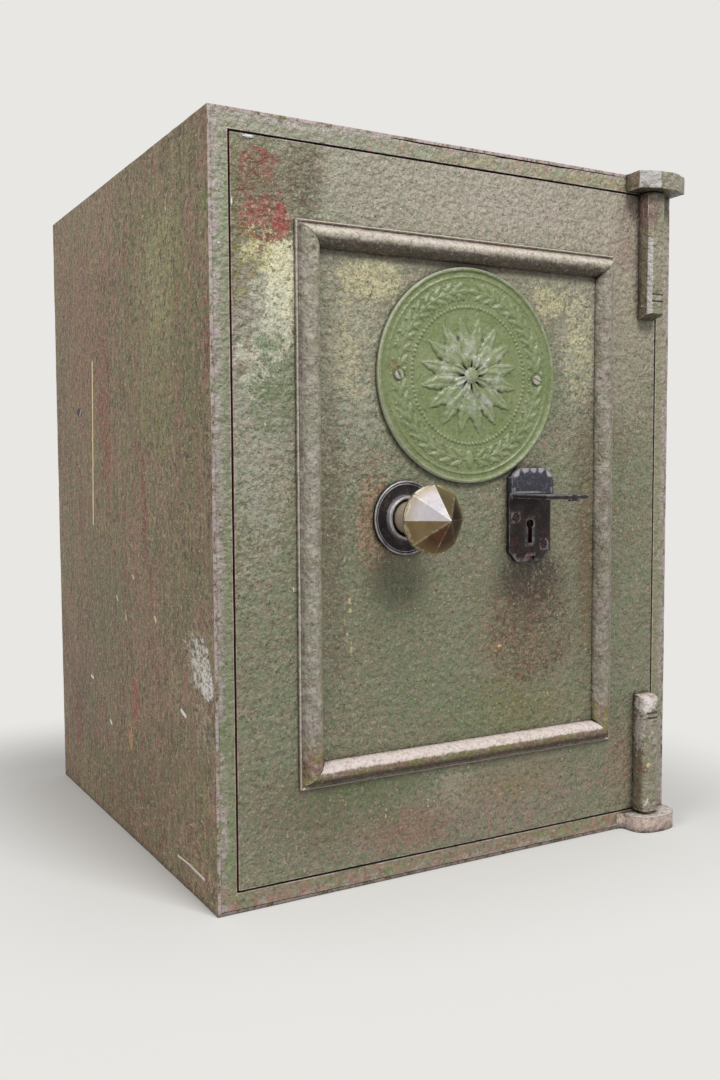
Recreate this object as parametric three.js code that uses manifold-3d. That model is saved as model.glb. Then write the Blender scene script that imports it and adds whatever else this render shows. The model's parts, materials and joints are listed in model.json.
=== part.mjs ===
// Iron strongbox: a free-standing fire-resisting safe with one hinged door.
// Millimetres, +Z up. The origin is the centre of the underside, the door faces -Y
// and is hung on the +X side.

import * as THREE from 'three';
import { mergeVertices } from 'three/addons/utils/BufferGeometryUtils.js';
import Module from 'manifold-3d';

const wasm = await Module();
wasm.setup();

// Body
const bodyWidth = 464;
const bodyDepth = 456;
const bodyHeight = 610;
const shellThickness = 3;
const backThickness = 3;
const backEdgeBevel = 2;
const seatGap = 0.3;
const overrun = 5;

// Front frame, a bar with an inner lip that the door shuts against
const frameFace = 16.3;
const frameDepth = 28;
const lipReach = 13.7;
const lipThickness = 8;

// Rear rim bar that the back plate is screwed to
const rimReach = 25;
const rimThickness = 7;
const backScrewInset = 17;
const backScrewHeadRadius = 5;
const backScrewHeadHeight = 1.6;
const backScrewShankRadius = 2.5;
const backScrewLength = 8;

// Jamb, chamber and fire packing
const jambWall = 3;
const jambSetback = 0.7;
const jambDepth = 73;
const packingThickness = 71.7;
const rearPackingThickness = 66;
const liningThickness = 2;
const shelfThickness = 3;
const shelfDrop = 198;
const shelfSideGap = 1;
const shelfSetback = 20;
const cleatSize = 12;
const cleatThickness = 3;

// Door plate
const doorThickness = 12;
const doorGap = 1.4;
const doorRestGap = 1;
const hingeEdgeBevel = 8;

// Moulding, a mitred bead with a thin fillet and a quirk on its outer side, placed by its
// distances from the sides, top and bottom of the body
const mouldingFromLeft = 70;
const mouldingFromRight = 71;
const mouldingFromTop = 75.5;
const mouldingFromBottom = 88.5;
const filletWidth = 2.4;
const filletHeight = 3.2;
const quirkWidth = 1.6;
const quirkHeight = 1.6;
const beadWidth = 17;
const beadHeight = 11;
const beadFoot = 2.4;
const beadSteps = 14;
const mitreGap = 0.05;

// Round plate with a raised double rim and a plain rosette, just under the moulding's top strip
const plateRadius = 90;
const plateX = 0;
const plateToMoulding = 3.2;
const plateThickness = 3;
const rimHeight = 1.8;
const rimWidth = 3.2;
const innerRimRadius = 83;
const innerRimWidth = 1.6;
const bandRadius = 58;
const bandWidth = 1.4;
const bandHeight = 0.9;
const rosettePetals = 8;
const petalReach = 27;
const petalLength = 17;
const petalWidth = 8;
const petalHeight = 3.6;
const rosetteBossRadius = 12;
const rosetteBossHeight = 4.6;
const plateScrewReach = 70.6;
const plateScrewDrop = 1;
const plateScrewHeadRadius = 4;
const plateScrewHeadHeight = 2.2;
const plateScrewShankRadius = 2;
const plateScrewLength = 10;
const screwHoleClearance = 0.3;
const slotWidth = 1;
const slotDepth = 0.8;

// Knob, its rose and the crank behind it
const knobLeftOfPlate = 62.5;
const knobBelowPlate = 117.9;
const knobSides = 8;
const knobRadius = 28;
const knobReach = 68;
const knobShoulder = 44;
const knobBand = 2.5;
const knobGirdleRadius = 27.6;
const knobGirdleSetback = 1.2;
const knobBack = 25;
const knobBackRadius = 14;
const neckRadius = 13.6;
const neckFlareRadius = 14.5;
const neckFlareLength = 3;
const roseRadius = 30.8;
const roseThickness = 3;
const roseRimWidth = 3;
const roseRimHeight = 1.4;
const collarRadius = 16;
const collarHeight = 6.5;
const turningClearance = 0.6;
const spindleRadius = 6.5;
const spindleInKnob = 20;
const crankPlay = 0.6;
const crankThickness = 7;
const crankHubRadius = 12;
const crankThrow = 20;
const crankPinRadius = 4;
const crankEyeRadius = 7;
const crankSwing = 60;
const pinSlotClearance = 0.7;

// Door case behind the door plate
const caseSetback = 25.7;
const caseWall = 4;
const caseDepth = 50;
const caseCoverThickness = 3;
const coverScrewInset = 12;
const coverBossRadius = 7;
const coverScrewHeadRadius = 5;
const coverScrewHeadHeight = 2;
const coverScrewShankRadius = 2.5;
const coverScrewLength = 12;
const doorPackingThickness = 15;
const casePackingGap = 1;

// Bolt work
const boltRadius = 9;
const boltRestOut = 1;
const boltFrontGap = 1.5;
const boltSpread = 175;
const boltTailRadius = 3.5;
const boltTailLength = 10;
const boltHoleClearance = 0.6;
const barWidth = 46;
const barThickness = 12;
const barEndMargin = 30;
const barLeftSetback = 24;
const railHeight = 22;
const railRise = 47;
const railThickness = 8;
const railEnd = 92;
const tabWidth = 26;
const guideRadius = 5;
const guideHeadRadius = 9;
const guideHeadThickness = 3;
const guideSlotClearance = 0.8;
const guideShare = 0.55;

// Fixed dog on the hinge side, which holds that edge behind the lip
const dogReach = 16;
const dogLength = 300;
const dogThickness = 9;
const dogSetback = 12;

// Lock
const keyRightOfPlate = 64.4;
const keyBelowPlate = 126.5;
const keyholeRadius = 4;
const keySlotWidth = 4.6;
const keySlotDrop = 16.8;
const lockLeft = 36;
const lockRight = 36;
const lockDown = 44;
const lockUp = 44;
const lockDepth = 21;
const lockWall = 3;
const lockCapThickness = 3;
const keyPinRadius = 1.5;
const lockBoltX = -18.4;
const lockBoltWidth = 18;
const lockBoltThickness = 6;
const lockBoltDown = 6;
const lockBoltUp = 28;
const tongueWidth = 10;
const tongueTravel = 8;
const tongueNotchGap = 0.8;
const stumpRadius = 2;
const stumpZ = 14;
const leverCount = 3;
const leverThickness = 2.2;
const leverPitch = 2.9;
const leverWidth = 20;
const leverDown = 38;
const leverUp = 32;
const leverPivotDrop = 30;
const leverPivotRadius = 3;
const leverPivotClearance = 0.3;
const gateClearance = 0.6;
const pocketReach = 4.2;

// Keyhole plate and its drop cover
const escutcheonWidth = 45.6;
const escutcheonUp = 48.9;
const escutcheonDown = 32.8;
const escutcheonThickness = 4.3;
const upperBlockThickness = 8;
const coverAxisUp = 24.5;
const upperBlockGap = 0.5;
const cornerCut = 8.5;
const earWidth = 3;
const earHalfHeight = 2;
const coverThickness = 3.4;
const coverPinRadius = 0.9;
const coverPinClearance = 0.15;
const coverShoulder = 4.5;
const coverEndGap = 0.8;
const nibWidth = 9;
const nibLength = 3;
const nibInner = 1.6;
const nibOuter = 0.9;
const nibClearance = 0.6;
const escutcheonScrewRadius = 3.7;
const escutcheonScrewHeadHeight = 1.5;
const escutcheonScrewShankRadius = 1.7;
const escutcheonScrewLength = 9;
const escutcheonScrews = { left: [-15.4, 5.9], right: [15.2, -18.2] };

// Hinges, two posts on the door that turn in two lugs on the frame
const lugReach = 26;
const lugCove = 7;
const upperLugHalfWidth = 28;
const upperLugSideDepth = 18;
const upperLugFrontHalf = 9;
const upperLugThickness = 16;
const lowerLugHalfWidth = 26;
const lowerLugThickness = 14.8;
const tenonWidth = 24;
const tenonHeight = 6;
const tenonLength = 20;
const postWidth = 20;
const postReach = 15.7;
const upperPostLength = 114;
const lowerPostLength = 111.4;
const postEdgeCut = 3.4;
const postEdgeRound = 6;
const postEndSlope = 4.5;
const postEndRound = 9;
const pivotInset = 29.8;
const pivotRadius = 5;
const pivotClearance = 0.3;
const pivotInPost = 30;
const pivotInLug = 11;
const pivotEndGap = 0.6;
const pivotWasherThickness = 1.2;
const pivotWasherRadius = 7.5;
const grooveWidth = 1.5;
const grooveDepth = 1.2;
const upperGrooveRise = 15.5;
const upperGroovePitch = 6.2;
const lowerGrooveDrop = 17;
const lowerGroovePitch = 4.5;

// Facets on round work
const fineFacets = 48;
const facets = 24;
const smallFacets = 12;

// Places worked out from the sizes above, depths measured back from the front face
const halfWidth = bodyWidth / 2;
const pivotX = halfWidth - pivotInset;
const mouldingWidth = bodyWidth - mouldingFromLeft - mouldingFromRight;
const mouldingHeight = bodyHeight - mouldingFromTop - mouldingFromBottom;
const mouldingX = (mouldingFromLeft - mouldingFromRight) / 2;
const mouldingZ = mouldingFromBottom + mouldingHeight / 2;
const stripWidth = filletWidth + quirkWidth + beadWidth;
const plateZ = bodyHeight - mouldingFromTop - stripWidth - plateToMoulding - plateRadius;
const knobX = plateX - knobLeftOfPlate;
const knobZ = plateZ - knobBelowPlate;
const keyX = plateX + keyRightOfPlate;
const keyZ = plateZ - keyBelowPlate;
const frameInset = shellThickness + seatGap;
const lipFront = doorThickness + doorRestGap;
const lipBack = lipFront + lipThickness;
const tenonInset = (frameInset + frameFace) / 2;
const lipInset = frameFace + lipReach;
const jambInset = frameFace + jambSetback;
const flangeBack = jambDepth + jambWall;
const liningInset = shellThickness + packingThickness + seatGap;
const chamberInset = liningInset + liningThickness;
const rimBack = bodyDepth - backThickness;
const rimFront = rimBack - rimThickness;
const chamberBack = rimFront - rearPackingThickness - liningThickness;
const doorInset = frameFace + doorGap;
const caseInset = frameFace + caseSetback;
const caseFront = doorThickness + seatGap;
const caseBack = doorThickness + caseDepth;
const coverFront = caseBack + seatGap;
const coverBack = coverFront + caseCoverThickness;
const caseLeft = -(halfWidth - caseInset);
const boltDepth = lipBack + boltFrontGap + boltRadius;
const boltTravel = 2 * crankThrow * Math.sin(THREE.MathUtils.degToRad(crankSwing / 2));
const barLeft = caseLeft + barLeftSetback;
const barRight = barLeft + barWidth;
const barFront = boltDepth - barThickness / 2;
const barBack = boltDepth + barThickness / 2;
const boltHeights = [-boltSpread, 0, boltSpread].map((rise) => bodyHeight / 2 + rise);
const railZ = knobZ + railRise;
const guideX = barLeft + guideRadius + guideSlotClearance + guideRadius;
const guideHeights = [-1, 1].map((side) => bodyHeight / 2 + side * guideShare * boltSpread);
const pivotOut = postReach / 2;
const upperLugX = halfWidth - upperLugHalfWidth;
const lowerLugX = halfWidth - lowerLugHalfWidth;
const upperLugBottom = bodyHeight - upperLugThickness;

// Materials
function paint(colour, roughness, metalness) {
  return new THREE.MeshStandardMaterial({ color: colour, roughness, metalness });
}

const greenPaint = paint(0x6b6a4d, 0.7, 0.2);
const sidePaint = paint(0x5a5640, 0.7, 0.2);
const platePaint = paint(0x6a7345, 0.6, 0.2);
const brass = paint(0x9c8a5c, 0.35, 1);
const blackIron = paint(0x2a2523, 0.6, 0.7);
const bareSteel = paint(0x8c8a84, 0.45, 0.9);
const innerPaint = paint(0x70695a, 0.75, 0.2);
const packingMaterial = paint(0xb5a98c, 0.95, 0);

// A closed solid from a three.js geometry
function solidOf(geometry) {
  const bare = geometry.clone();
  bare.deleteAttribute('normal');
  bare.deleteAttribute('uv');
  const merged = mergeVertices(bare);
  const corners = merged.index.array;
  const kept = [];
  for (let i = 0; i < corners.length; i += 3) {
    const [a, b, c] = [corners[i], corners[i + 1], corners[i + 2]];
    if (a !== b && b !== c && c !== a) kept.push(a, b, c);
  }
  return new wasm.Manifold(new wasm.Mesh({
    numProp: 3,
    vertProperties: new Float32Array(merged.attributes.position.array),
    triVerts: new Uint32Array(kept),
  }));
}

function geometryOf(solid) {
  const mesh = solid.getMesh();
  const geometry = new THREE.BufferGeometry();
  geometry.setAttribute('position', new THREE.BufferAttribute(mesh.vertProperties, 3));
  geometry.setIndex(new THREE.BufferAttribute(mesh.triVerts, 1));
  geometry.computeVertexNormals();
  return geometry;
}

function union(solids) {
  return solids.reduce((whole, next) => whole.add(next));
}

// A rectangular block between two corners
function block([x0, y0, z0], [x1, y1, z1]) {
  const geometry = new THREE.BoxGeometry(x1 - x0, y1 - y0, z1 - z0);
  geometry.translate((x0 + x1) / 2, (y0 + y1) / 2, (z0 + z1) / 2);
  return solidOf(geometry);
}

// A round bar along one axis, from one end to the other
const barTurns = {
  x: (geometry) => geometry.rotateZ(-Math.PI / 2),
  y: (geometry) => geometry,
  z: (geometry) => geometry.rotateX(Math.PI / 2),
};

function roundBar(axis, radius, from, to, [x, y, z], sides = facets) {
  const geometry = new THREE.CylinderGeometry(radius, radius, to - from, sides);
  barTurns[axis](geometry);
  const middle = (from + to) / 2;
  const centre = { x: [middle, y, z], y: [x, middle, z], z: [x, y, middle] }[axis];
  geometry.translate(...centre);
  return solidOf(geometry);
}

// A turned piece: profile points are [radius, distance out along -Y]
function turned(profile, sides = facets) {
  const points = profile.map(([radius, out]) => new THREE.Vector2(radius, out));
  const geometry = new THREE.LatheGeometry(points, sides);
  geometry.rotateZ(Math.PI);
  return solidOf(geometry);
}

// A ring turned about Y, with a rectangular section
function turnedRing(inner, outer, from, to, sides = facets) {
  return roundBar('y', outer, from, to, [0, 0, 0], sides)
    .subtract(roundBar('y', inner, from - overrun, to + overrun, [0, 0, 0], sides));
}

// Outlines pushed along one axis
const axisX = new THREE.Vector3(1, 0, 0);
const axisY = new THREE.Vector3(0, 1, 0);
const axisZ = new THREE.Vector3(0, 0, 1);

function outline(points) {
  return new THREE.Shape(points.map(([a, b]) => new THREE.Vector2(a, b)));
}

function pushed(shape, length) {
  return new THREE.ExtrudeGeometry(shape, { depth: length, bevelEnabled: false, curveSegments: 10 });
}

function prismX(shape, x0, x1) {
  const geometry = pushed(shape, x1 - x0);
  geometry.applyMatrix4(new THREE.Matrix4().makeBasis(axisY, axisZ, axisX));
  geometry.translate(x0, 0, 0);
  return solidOf(geometry);
}

function prismY(shape, y0, y1) {
  const geometry = pushed(shape, y1 - y0);
  geometry.applyMatrix4(new THREE.Matrix4().makeBasis(axisX, axisZ, axisY.clone().negate()));
  geometry.translate(0, y1, 0);
  return solidOf(geometry);
}

function prismZ(shape, z0, z1) {
  const geometry = pushed(shape, z1 - z0);
  geometry.translate(0, 0, z0);
  return solidOf(geometry);
}

// A block and a ring that follow the body's outline at a given inset
function bodyBlock(inset, front, back) {
  return block([-halfWidth + inset, front, inset], [halfWidth - inset, back, bodyHeight - inset]);
}

function bodyRing(outerInset, innerInset, front, back) {
  return bodyBlock(outerInset, front, back)
    .subtract(bodyBlock(innerInset, front - overrun, back + overrun));
}

// Groups: depths inside them run back from the front face
const strongbox = new THREE.Group();
const body = new THREE.Group();
const door = new THREE.Group();
body.position.y = -bodyDepth / 2;
door.position.y = -bodyDepth / 2;
strongbox.add(body, door);

function groupAt(parent, x, z) {
  const group = new THREE.Group();
  group.position.set(x, 0, z);
  parent.add(group);
  return group;
}

function piece(parent, name, solid, material, [x, y, z] = [0, 0, 0]) {
  const mesh = new THREE.Mesh(geometryOf(solid), material);
  mesh.name = name;
  mesh.position.set(x, y, z);
  parent.add(mesh);
}

// A slotted screw about Y with its head's seat at zero and its head towards -Y
function slottedScrew(headRadius, headHeight, shankRadius, length, slotAngle) {
  const slotCut = prismY(outline([
    [-headRadius - overrun, -slotWidth / 2],
    [headRadius + overrun, -slotWidth / 2],
    [headRadius + overrun, slotWidth / 2],
    [-headRadius - overrun, slotWidth / 2],
  ]), -headHeight - overrun, -headHeight + slotDepth).rotate([0, slotAngle, 0]);
  return roundBar('y', headRadius, -headHeight, 0, [0, 0, 0], smallFacets)
    .add(roundBar('y', shankRadius, -headHeight / 2, length, [0, 0, 0], smallFacets))
    .subtract(slotCut);
}

// Outer shell: top, bottom and sides in one bent plate, with the back edge eased
function outerShell() {
  const easing = backEdgeBevel;
  const cutters = [-1, 1].flatMap((side) => {
    const x = side * halfWidth;
    const upright = prismZ(outline([
      [x, bodyDepth - easing],
      [x + side * overrun, bodyDepth - easing - overrun],
      [x + side * overrun, bodyDepth + overrun],
      [x - side * (easing + overrun), bodyDepth + overrun],
    ]), -overrun, bodyHeight + overrun);
    const z = side > 0 ? bodyHeight : 0;
    const level = prismX(outline([
      [bodyDepth - easing, z],
      [bodyDepth - easing - overrun, z + side * overrun],
      [bodyDepth + overrun, z + side * overrun],
      [bodyDepth + overrun, z - side * (easing + overrun)],
    ]), -halfWidth - overrun, halfWidth + overrun);
    return [upright, level];
  });
  return bodyRing(0, shellThickness, 0, bodyDepth).subtract(union(cutters));
}

const backScrewPlaces = [-1, 1].flatMap((side) => [backScrewInset, bodyHeight - backScrewInset]
  .map((z) => [side * (halfWidth - backScrewInset), z]));

function backPlate() {
  const plate = bodyBlock(frameInset, rimBack, bodyDepth);
  const holes = backScrewPlaces.map(([x, z]) => roundBar('y', backScrewHeadRadius + screwHoleClearance,
    bodyDepth - backScrewHeadHeight - seatGap, bodyDepth + overrun, [x, 0, z], smallFacets)
    .add(roundBar('y', backScrewShankRadius + screwHoleClearance,
      rimBack - overrun, bodyDepth + overrun, [x, 0, z], smallFacets)));
  return plate.subtract(union(holes));
}

function backRim() {
  const holes = backScrewPlaces.map(([x, z]) => roundBar('y', backScrewShankRadius + screwHoleClearance,
    rimFront - overrun, rimBack + overrun, [x, 0, z], smallFacets));
  return bodyRing(frameInset, frameInset + rimReach, rimFront, rimBack).subtract(union(holes));
}

// The upper lug's outline in plan, half an unequal octagon in front of the face
function cutLugOutline() {
  return outline([
    [-upperLugHalfWidth, 0],
    [-upperLugHalfWidth, -upperLugSideDepth],
    [-upperLugFrontHalf, -lugReach],
    [upperLugFrontHalf, -lugReach],
    [upperLugHalfWidth, -upperLugSideDepth],
    [upperLugHalfWidth, 0],
  ]);
}

// The lower lug is rounder and runs into the frame with a cove
function roundLugOutline() {
  const half = lowerLugHalfWidth;
  const shape = new THREE.Shape();
  shape.moveTo(-half - lugCove, 0);
  shape.quadraticCurveTo(-half, 0, -half, -lugCove);
  shape.bezierCurveTo(-half, -lugReach + lugCove, -half + lugCove, -lugReach, 0, -lugReach);
  shape.bezierCurveTo(half - lugCove, -lugReach, half, -lugReach + lugCove, half, 0);
  shape.closePath();
  return shape;
}

function tenon(x, middle, clearance) {
  return block(
    [x - tenonWidth / 2 - clearance, -overrun, middle - tenonHeight / 2 - clearance],
    [x + tenonWidth / 2 + clearance, tenonLength + clearance, middle + tenonHeight / 2 + clearance],
  );
}

const upperTenon = (clearance) => tenon(upperLugX, bodyHeight - tenonInset, clearance);
const lowerTenon = (clearance) => tenon(lowerLugX, tenonInset, clearance);

function hingeLug(plan, lugTenon, holeFrom, holeTo) {
  const tail = lugTenon.subtract(bodyBlock(0, -bodyDepth, seatGap));
  const spigot = lugTenon.intersect(bodyBlock(0, -lugReach / 2, seatGap + overrun));
  const hole = roundBar('z', pivotRadius + pivotClearance, holeFrom, holeTo, [pivotX, -pivotOut, 0]);
  return union([plan, spigot, tail]).subtract(hole);
}

function upperHingeLug() {
  const plan = prismZ(cutLugOutline(), upperLugBottom, bodyHeight).translate([upperLugX, 0, 0]);
  return hingeLug(plan, upperTenon(0), upperLugBottom - overrun, upperLugBottom + pivotInLug);
}

function lowerHingeLug() {
  const plan = prismZ(roundLugOutline(), 0, lowerLugThickness).translate([lowerLugX, 0, 0]);
  return hingeLug(plan, lowerTenon(0), lowerLugThickness - pivotInLug, lowerLugThickness + overrun);
}

function frontFrame() {
  const bar = bodyRing(frameInset, frameFace, 0, frameDepth);
  const lip = bodyRing(frameInset, lipInset, lipFront, lipBack);
  return bar.add(lip)
    .subtract(upperTenon(seatGap))
    .subtract(lowerTenon(seatGap));
}

function jambFrame() {
  const wall = bodyRing(jambInset, jambInset + jambWall, lipBack + seatGap, flangeBack);
  const flange = bodyRing(jambInset, chamberInset, jambDepth, flangeBack);
  return wall.add(flange);
}

function chamberLining() {
  return bodyBlock(liningInset, flangeBack + seatGap, chamberBack + liningThickness)
    .subtract(bodyBlock(chamberInset, flangeBack - overrun, chamberBack));
}

function firePacking() {
  const behindFrame = Math.max(frameDepth, lipBack) + seatGap;
  return bodyBlock(frameInset, behindFrame, rimFront - seatGap)
    .add(bodyBlock(frameInset + rimReach + seatGap, rimFront - overrun, rimBack - seatGap))
    .subtract(bodyBlock(jambInset - seatGap, behindFrame - overrun, flangeBack + seatGap))
    .subtract(bodyBlock(liningInset - seatGap, flangeBack, chamberBack + liningThickness + seatGap));
}

const shelfTop = bodyHeight - chamberInset - shelfDrop;
const shelfBottom = shelfTop - shelfThickness;
const shelfFront = flangeBack + shelfSetback;

function shelf() {
  const reach = halfWidth - chamberInset - shelfSideGap;
  return block([-reach, shelfFront, shelfBottom], [reach, chamberBack - shelfSideGap, shelfTop]);
}

// A small angle under each end of the shelf
function shelfCleat(side) {
  const wall = halfWidth - chamberInset - seatGap;
  const top = shelfBottom - seatGap;
  const angle = outline([
    [side * wall, top - cleatSize],
    [side * wall, top],
    [side * (wall - cleatSize), top],
    [side * (wall - cleatSize), top - cleatThickness],
    [side * (wall - cleatThickness), top - cleatThickness],
    [side * (wall - cleatThickness), top - cleatSize],
  ]);
  return prismY(angle, shelfFront + shelfSetback, chamberBack - shelfSetback);
}

piece(body, 'outer_shell', outerShell(), sidePaint);
piece(body, 'back_plate', backPlate(), sidePaint);
piece(body, 'back_rim', backRim(), bareSteel);
backScrewPlaces.forEach(([x, z], index) => {
  const screw = slottedScrew(backScrewHeadRadius, backScrewHeadHeight, backScrewShankRadius,
    backScrewLength, 0).rotate([0, 0, 180]);
  piece(body, `back_screw_${index + 1}`, screw, bareSteel, [x, bodyDepth - backScrewHeadHeight, z]);
});
piece(body, 'front_frame', frontFrame(), greenPaint);
piece(body, 'upper_hinge_lug', upperHingeLug(), greenPaint);
piece(body, 'lower_hinge_lug', lowerHingeLug(), greenPaint);
piece(body, 'jamb_frame', jambFrame(), innerPaint);
piece(body, 'chamber_lining', chamberLining(), innerPaint);
piece(body, 'fire_packing', firePacking(), packingMaterial);
piece(body, 'shelf', shelf(), innerPaint);
piece(body, 'shelf_cleat_left', shelfCleat(-1), bareSteel);
piece(body, 'shelf_cleat_right', shelfCleat(1), bareSteel);
piece(body, 'pivot_washer', turnedRing(pivotRadius + pivotClearance, pivotWasherRadius,
  -pivotWasherThickness, 0).rotate([-90, 0, 0]), brass, [pivotX, -pivotOut, lowerLugThickness + seatGap / 2]);

// Keyhole outline about the key's axis
function keyholeOutline(clearance) {
  const radius = keyholeRadius + clearance;
  const halfSlot = keySlotWidth / 2 + clearance;
  const turn = Math.asin(halfSlot / radius);
  const shape = new THREE.Shape();
  shape.moveTo(-halfSlot, -keySlotDrop - clearance);
  shape.lineTo(halfSlot, -keySlotDrop - clearance);
  shape.absarc(0, 0, radius, turn - Math.PI / 2, (3 * Math.PI) / 2 - turn, false);
  shape.closePath();
  return shape;
}

// Door plate, bevelled on its rear hinge edge, with its holes
function doorPlate() {
  const edge = halfWidth - doorInset;
  const bevel = prismZ(outline([
    [edge - hingeEdgeBevel, doorThickness],
    [edge + overrun, doorThickness - hingeEdgeBevel - overrun],
    [edge + overrun, doorThickness + overrun],
    [edge - hingeEdgeBevel - overrun, doorThickness + overrun],
  ]), -overrun, bodyHeight + overrun);
  const spindleHole = roundBar('y', spindleRadius + turningClearance, -overrun, doorThickness + overrun,
    [knobX, 0, knobZ]);
  const keyhole = prismY(keyholeOutline(0), -overrun, doorThickness + overrun).translate([keyX, 0, keyZ]);
  const plateScrewHoles = [-1, 1].map((side) => roundBar('y', plateScrewShankRadius + screwHoleClearance,
    -overrun, plateScrewLength, [plateX + side * plateScrewReach, 0, plateZ - plateScrewDrop], smallFacets));
  const escutcheonHoles = Object.values(escutcheonScrews).map(([x, z]) => roundBar('y',
    escutcheonScrewShankRadius + screwHoleClearance, -overrun, escutcheonScrewLength,
    [keyX + x, 0, keyZ + z], smallFacets));
  return bodyBlock(doorInset, 0, doorThickness)
    .subtract(union([bevel, spindleHole, keyhole, ...plateScrewHoles, ...escutcheonHoles]));
}

// Moulding section: [distance in from the outer edge, height]
function mouldingSection() {
  const beadStart = filletWidth + quirkWidth;
  const points = [
    [0, 0],
    [0, filletHeight],
    [filletWidth, filletHeight],
    [filletWidth, quirkHeight],
    [beadStart, quirkHeight],
  ];
  for (let step = 0; step <= beadSteps; step += 1) {
    const angle = Math.PI * (1 - step / beadSteps);
    const across = beadStart + beadWidth / 2 + (beadWidth / 2) * Math.cos(angle);
    points.push([across, beadFoot + (beadHeight - beadFoot) * Math.sin(angle)]);
  }
  points.push([beadStart + beadWidth, 0]);
  return points;
}

// One strip of the moulding, cut to its mitres. reach is half the side it runs along,
// away is half the other side, and turn puts it on its side of the door.
function mouldingStrip(reach, away, turn) {
  const section = outline(mouldingSection().map(([inward, height]) => [-height, away - inward]));
  const strip = prismX(section, -reach, reach);
  const wedge = prismY(outline([
    [0, away - reach],
    [reach - mitreGap, away - mitreGap],
    [reach - mitreGap, away + overrun],
    [-reach + mitreGap, away + overrun],
    [-reach + mitreGap, away - mitreGap],
  ]), -beadHeight - overrun, overrun);
  return strip.intersect(wedge).rotate([0, turn, 0]);
}

const halfAcross = mouldingWidth / 2;
const halfUp = mouldingHeight / 2;
const mouldingGroup = groupAt(door, mouldingX, mouldingZ);

piece(door, 'door_plate', doorPlate(), greenPaint);
piece(mouldingGroup, 'moulding_top', mouldingStrip(halfAcross, halfUp, 0), greenPaint);
piece(mouldingGroup, 'moulding_bottom', mouldingStrip(halfAcross, halfUp, 180), greenPaint);
piece(mouldingGroup, 'moulding_right', mouldingStrip(halfUp, halfAcross, 90), greenPaint);
piece(mouldingGroup, 'moulding_left', mouldingStrip(halfUp, halfAcross, -90), greenPaint);

// Round plate: a disc with two raised rims, a thin band and a petalled rosette
function petal(index) {
  const geometry = new THREE.SphereGeometry(1, 10, 6);
  geometry.scale(petalLength, petalHeight, petalWidth);
  geometry.translate(petalReach, 0, 0);
  geometry.rotateY((index / rosettePetals) * 2 * Math.PI);
  geometry.translate(0, -plateThickness, 0);
  return solidOf(geometry);
}

function roundPlate() {
  const face = -plateThickness;
  const disc = roundBar('y', plateRadius, face, 0, [0, 0, 0], fineFacets);
  const rims = [
    turnedRing(plateRadius - rimWidth, plateRadius, face - rimHeight, -seatGap, fineFacets),
    turnedRing(innerRimRadius - innerRimWidth, innerRimRadius, face - rimHeight / 2, -seatGap, fineFacets),
    turnedRing(bandRadius - bandWidth, bandRadius, face - bandHeight, -seatGap, fineFacets),
  ];
  const petals = Array.from({ length: rosettePetals }, (_, index) => petal(index));
  const boss = new THREE.SphereGeometry(1, 16, 8);
  boss.scale(rosetteBossRadius, rosetteBossHeight, rosetteBossRadius);
  boss.translate(0, face, 0);
  const backCut = roundBar('y', plateRadius + overrun, 0, plateThickness + petalHeight + overrun,
    [0, 0, 0], fineFacets);
  const holes = [-1, 1].map((side) => roundBar('y', plateScrewShankRadius + screwHoleClearance,
    face - overrun, overrun, [side * plateScrewReach, 0, -plateScrewDrop], smallFacets));
  return union([disc, ...rims, ...petals, solidOf(boss)]).subtract(union([backCut, ...holes]));
}

const plateGroup = groupAt(door, plateX, plateZ);
piece(plateGroup, 'round_plate', roundPlate(), platePaint);
for (const [name, side, turn] of [['left', -1, 60], ['right', 1, 25]]) {
  const screw = slottedScrew(plateScrewHeadRadius, plateScrewHeadHeight, plateScrewShankRadius,
    plateScrewLength - seatGap, turn);
  piece(plateGroup, `round_plate_screw_${name}`, screw, platePaint,
    [side * plateScrewReach, -plateThickness, -plateScrewDrop]);
}

// Knob and rose, about the knob's own axis
function handleRose() {
  const hole = neckFlareRadius + turningClearance;
  return turned([
    [hole, 0],
    [roseRadius, 0],
    [roseRadius, roseThickness],
    [roseRadius - roseRimWidth / 2, roseThickness + roseRimHeight],
    [roseRadius - roseRimWidth, roseThickness],
    [collarRadius + roseRimWidth, roseThickness],
    [collarRadius + roseRimWidth / 2, collarHeight],
    [hole, collarHeight],
    [hole, 0],
  ], fineFacets);
}

function knob() {
  const cut = turned([
    [0, knobBack - knobBand],
    [knobBackRadius, knobBack],
    [knobRadius, knobShoulder - knobBand],
    [knobRadius, knobShoulder],
    [0, knobReach],
  ], knobSides);
  const neck = turned([
    [0, seatGap],
    [neckFlareRadius, seatGap],
    [neckFlareRadius, neckFlareLength],
    [neckRadius, neckFlareLength * 2],
    [neckRadius, knobBack + knobBand],
    [0, knobBack + knobBand],
  ]);
  // The round girdle behind the cut facets meets them at the middle of each side
  const facetReach = knobRadius * Math.cos(Math.PI / knobSides) - seatGap;
  const girdle = turned([
    [0, knobShoulder - knobGirdleSetback - 2 * knobBand],
    [knobGirdleRadius, knobShoulder - knobGirdleSetback - knobBand],
    [knobGirdleRadius, knobShoulder - knobGirdleSetback],
    [facetReach, knobShoulder],
    [0, knobShoulder],
  ], fineFacets);
  const bore = roundBar('y', spindleRadius + seatGap, -spindleInKnob - seatGap, overrun, [0, 0, 0]);
  return union([cut, girdle, neck]).subtract(bore);
}

const crankFront = doorThickness + crankPlay;
const crankBack = crankFront + crankThickness;
const pinTurn = THREE.MathUtils.degToRad(crankSwing / 2);
const pinX = crankThrow * Math.sin(pinTurn);
const pinZ = crankThrow * Math.cos(pinTurn);

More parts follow.
